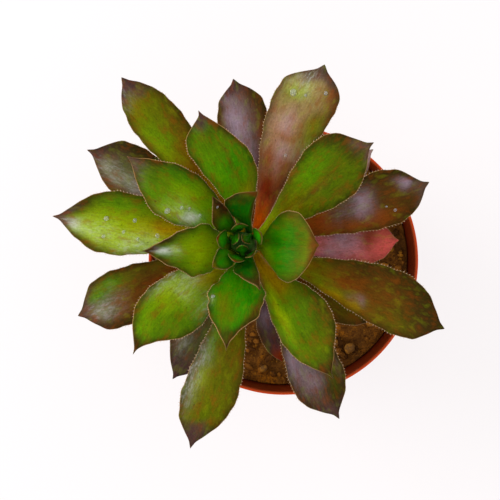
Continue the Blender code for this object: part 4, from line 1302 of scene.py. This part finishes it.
def build_grit():
    draw = np.random.default_rng(7)
    skin = stone_skin()
    for node in sorted(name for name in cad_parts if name.startswith("grit_")):
        low, high = (np.array(corner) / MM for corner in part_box(node))
        shape, faces = lump(draw, 1.0, 3)
        shape = turned_about(shape, draw.uniform(0, 6.3), draw.uniform(-0.3, 0.3))
        span = shape.max(axis=0) - shape.min(axis=0)
        shape = (shape - shape.min(axis=0)) / span
        facet = 0.12 * np.abs(shape - 0.5).max(axis=1, keepdims=True)
        points = low + (shape * (1 - facet) + 0.5 * facet) * (high - low)
        piece(node + "_stone", points, faces, [skin], (node,))


SCAR_WIDTH, SCAR_HEIGHT = 2.9, 1.15  # half of a leaf scar's width and height, in mm
GREEN_FROM, GREEN_BY = 38.0, 58.0  # heights above the soil at which the stem turns green, in mm
BARE_TOP = 6.0  # the top of the stem has no scars, over this many mm


def build_stem():
    stem = settings().stem
    points, _ = cad("stem")
    heights = np.unique(np.round(points[:, 2], 1))
    rings = [points[np.abs(points[:, 2] - level) < 0.1] for level in heights]
    centres = np.array([ring.mean(axis=0) for ring in rings])
    radii = [np.linalg.norm((ring - c)[:, :2], axis=1).mean() for ring, c in zip(rings, centres)]
    soil_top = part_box("soil")[1][2] / MM
    sides, rows = 96, 260
    height = np.repeat(np.linspace(heights[0], heights[-1], rows), sides)
    angle = np.tile(turns(sides), rows)
    radius = np.interp(height, heights, radii)
    x0, y0 = np.interp(height, heights, centres[:, 0]), np.interp(height, heights, centres[:, 1])
    scar, lip = np.zeros(len(height)), np.zeros(len(height))
    number, at = 0, soil_top - 4.0
    while at < heights[-1] - BARE_TOP:
        turn = (angle - number * GOLDEN_ANGLE + math.pi) % (2 * math.pi) - math.pi
        u, v = turn * radius / SCAR_WIDTH, (height - at) / SCAR_HEIGHT
        hollow = np.exp(-((u * u + (v + 0.5 * u * u) ** 2) ** 2))
        ledge = hump(v + 0.45 * u * u, -1.15, 0.45) * np.exp(-(u**4))
        scar, lip = np.maximum(scar, hollow), np.maximum(lip, ledge)
        number += 1
        at += stem.scar_rise
    young = step(height, soil_top + GREEN_FROM, soil_top + GREEN_BY)
    rough = np.array([
        noise.fractal(Vector((math.cos(a) * 2, math.sin(a) * 2, h / 5.0)), 1.0, 2.0, 4)
        for a, h in zip(angle, height)
    ])
    depth = stem.scar_depth * (0.8 * lip - 0.9 * scar) + 0.18 * rough
    radius = radius + depth * (1 - 0.7 * young) * step(heights[-1] - height, 0.0, 4.0)
    grid = np.stack([x0 + radius * np.cos(angle), y0 + radius * np.sin(angle), height], axis=1)
    index, faces = tube(rows, sides)
    faces += [cap(index[0][::-1]), cap(index[-1])]
    paints = {"scar": scar, "lip": lip, "young": young}
    piece("stem_bark", grid, faces, [stem_skin()], ("stem",), paints)


BEAD_HEIGHT = 0.30  # of a bead's width
BEAD_SINK = 0.04  # how deep a bead sits in the leaf, in mm


def bead(blade, along, across, size):
    """A bead of water on the leaf's upper face, as points and faces."""
    rings, around = 8, 22
    details = settings().leaves
    probe_along = np.array([along, along + 0.01, along])
    probe_across = np.array([across, across, across + 0.03])
    spot, ahead, left = blade.surface(probe_along, probe_across, np.ones(3), details)
    up = np.cross(ahead - spot, left - spot)
    up /= np.linalg.norm(up)
    ahead = (ahead - spot) / np.linalg.norm(ahead - spot)
    left = np.cross(up, ahead)
    points = []
    for lift in np.linspace(0, math.pi / 2, rings + 1)[:-1]:
        height = BEAD_HEIGHT * size * math.sin(lift) - BEAD_SINK
        for turn in turns(around):
            flat = size / 2 * math.cos(lift) ** 0.8 * (1 + 0.08 * math.sin(2 * turn + along * 9))
            points.append(spot + flat * (math.cos(turn) * ahead + math.sin(turn) * left) + height * up)
    index, faces = tube(rings, around)
    faces += [*fan(index[-1], len(points)), cap(index[0][::-1])]
    points.append(spot + (BEAD_HEIGHT * size - BEAD_SINK) * up)
    return points, faces


def build_drops():
    """Beads of water that sit on the upper faces, one piece for each wet leaf."""
    water = water_skin()
    for node, beads in DROPS.items():
        blade = Blade(node)
        points, faces = [], []
        for along, across, size in beads:
            start = len(points)
            more, sides = bead(blade, along, across, size)
            points += more
            faces += [tuple(i + start for i in side) for side in sides]
        piece(node + "_dew", points, faces, [water])


def build_rank(rank):
    draw = np.random.default_rng(name_number(rank))
    mottling, veins = MOTTLING[rank]
    skins = [leaf_skin(rank + "_skin", mottling, veins), hair_skin()]
    nodes = sorted(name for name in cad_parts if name.startswith(rank + "_"))
    if not nodes:
        raise RuntimeError("the frame has no leaves named " + rank)
    for node in nodes:
        build_leaf(node, skins, draw)


SKY_TONE = (1.0, 0.985, 0.98, 1.0)
# Round lamps: name, place in metres, diameter, which setting is its power, and colour.
LAMPS = (
    ("side_window", (-0.95, 0.35, 0.75), 0.9, "key", (1.0, 0.99, 0.98)),
    ("overhead", (0.1, 0.1, 1.5), 1.4, "fill", (1.0, 1.0, 1.0)),
)
LAMP_AIM = Vector((0.0, 0.0, 0.12))
CAMERA_SPOT = (-0.0130, 0.0039)  # over the middle of the plant, in metres
FLOOR_RADIUS = 4.0  # in metres


def build_stage():
    stage = settings().stage
    scene = bpy.context.scene
    floor = bmesh.new()
    bmesh.ops.create_circle(floor, cap_ends=True, segments=128, radius=FLOOR_RADIUS)
    mesh = bpy.data.meshes.new("studio_floor")
    floor.to_mesh(mesh)
    floor.free()
    mesh.materials.append(floor_skin())
    placed("studio_floor", mesh)
    world = bpy.data.worlds.new("soft_room")
    world.use_nodes = True
    sky = world.node_tree.nodes["Background"]
    sky.inputs["Color"].default_value = SKY_TONE
    sky.inputs["Strength"].default_value = stage.sky
    scene.world = world
    for name, place, size, power, tone in LAMPS:
        light = bpy.data.lights.new(name, "AREA")
        light.shape, light.size, light.energy, light.color = "DISK", size, getattr(stage, power), tone
        lamp = placed(name, light)
        lamp.location = place
        lamp.rotation_euler = (LAMP_AIM - Vector(place)).to_track_quat("-Z", "Y").to_euler()
        lamp.visible_camera = False
    lens = bpy.data.cameras.new("studio_camera")
    rim_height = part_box("pot")[1][2]
    lens.sensor_width = 36.0
    lens.lens = lens.sensor_width * (stage.camera_height - rim_height) / stage.frame_width
    lens.clip_start, lens.clip_end = 0.01, 50.0
    camera = placed("studio_camera", lens)
    camera.location = (*CAMERA_SPOT, stage.camera_height)
    scene.camera = camera
    scene.view_settings.view_transform = "Standard"
    scene.view_settings.look = "None"


# ---------------------------------------------------------------- operators


class SUCCULENT_OT_pot(bpy.types.Operator):
    """Make the terracotta coloured plastic pot"""

    bl_idname = "succulent.pot"
    bl_label = "Pot"

    def execute(self, context):
        build_pot()
        return {"FINISHED"}


class SUCCULENT_OT_soil(bpy.types.Operator):
    """Make the bed of soil"""

    bl_idname = "succulent.soil"
    bl_label = "Soil"

    def execute(self, context):
        build_soil()
        return {"FINISHED"}


class SUCCULENT_OT_crumbs(bpy.types.Operator):
    """Scatter crumbs, bark fines and sand on the soil"""

    bl_idname = "succulent.crumbs"
    bl_label = "Crumbs"

    def execute(self, context):
        build_crumbs()
        return {"FINISHED"}


class SUCCULENT_OT_grit(bpy.types.Operator):
    """Make the grit stones"""

    bl_idname = "succulent.grit"
    bl_label = "Grit"

    def execute(self, context):
        build_grit()
        return {"FINISHED"}


class SUCCULENT_OT_stem(bpy.types.Operator):
    """Make the stem with its leaf scars"""

    bl_idname = "succulent.stem"
    bl_label = "Stem"

    def execute(self, context):
        build_stem()
        return {"FINISHED"}


class SUCCULENT_OT_outer_leaves(bpy.types.Operator):
    """Make the plum coloured leaves of the two lowest ranks"""

    bl_idname = "succulent.outer_leaves"
    bl_label = "Lower and outer leaves"

    def execute(self, context):
        build_rank("lower_leaf")
        build_rank("outer_leaf")
        return {"FINISHED"}


class SUCCULENT_OT_middle_leaves(bpy.types.Operator):
    """Make the long olive leaves of the middle rank"""

    bl_idname = "succulent.middle_leaves"
    bl_label = "Middle leaves"

    def execute(self, context):
        build_rank("middle_leaf")
        return {"FINISHED"}


class SUCCULENT_OT_inner_leaves(bpy.types.Operator):
    """Make the green leaves of the inner and upper ranks"""

    bl_idname = "succulent.inner_leaves"
    bl_label = "Inner and upper leaves"

    def execute(self, context):
        build_rank("inner_leaf")
        build_rank("upper_leaf")
        return {"FINISHED"}


class SUCCULENT_OT_heart_leaves(bpy.types.Operator):
    """Make the young leaves at the heart of the rosette"""

    bl_idname = "succulent.heart_leaves"
    bl_label = "Heart leaves"

    def execute(self, context):
        build_rank("heart_leaf")
        build_rank("core_leaf")
        build_rank("bud_leaf")
        return {"FINISHED"}


class SUCCULENT_OT_dew(bpy.types.Operator):
    """Put beads of water on some leaves"""

    bl_idname = "succulent.dew"
    bl_label = "Dew"

    def execute(self, context):
        build_drops()
        return {"FINISHED"}


class SUCCULENT_OT_stage(bpy.types.Operator):
    """Make the floor, lights and camera"""

    bl_idname = "succulent.stage"
    bl_label = "Stage"

    def execute(self, context):
        build_stage()
        return {"FINISHED"}


class SUCCULENT_PT_panel(bpy.types.Panel):
    bl_label = "Potted Succulent"
    bl_idname = "SUCCULENT_PT_panel"
    bl_space_type = "VIEW_3D"
    bl_region_type = "UI"
    bl_category = "Succulent"

    def draw(self, context):
        for operator in OPERATORS:
            self.layout.operator(operator.bl_idname)


OPERATORS = (
    SUCCULENT_OT_pot,
    SUCCULENT_OT_soil,
    SUCCULENT_OT_crumbs,
    SUCCULENT_OT_grit,
    SUCCULENT_OT_stem,
    SUCCULENT_OT_outer_leaves,
    SUCCULENT_OT_middle_leaves,
    SUCCULENT_OT_inner_leaves,
    SUCCULENT_OT_heart_leaves,
    SUCCULENT_OT_dew,
    SUCCULENT_OT_stage,
)
GROUPS = (
    LeafSettings,
    LeafColours,
    PotSettings,
    SoilSettings,
    StemSettings,
    StageSettings,
    SucculentSettings,
)


def register():
    for item in (*GROUPS, *OPERATORS, SUCCULENT_PT_panel):
        bpy.utils.register_class(item)
    bpy.types.Scene.succulent = PointerProperty(type=SucculentSettings)


def unregister():
    del bpy.types.Scene.succulent
    for item in reversed((*GROUPS, *OPERATORS, SUCCULENT_PT_panel)):
        bpy.utils.unregister_class(item)


def main():
    register()
    for operator in OPERATORS:
        getattr(bpy.ops.succulent, operator.bl_idname.split(".")[1])()


if __name__ == "__main__":
    main()
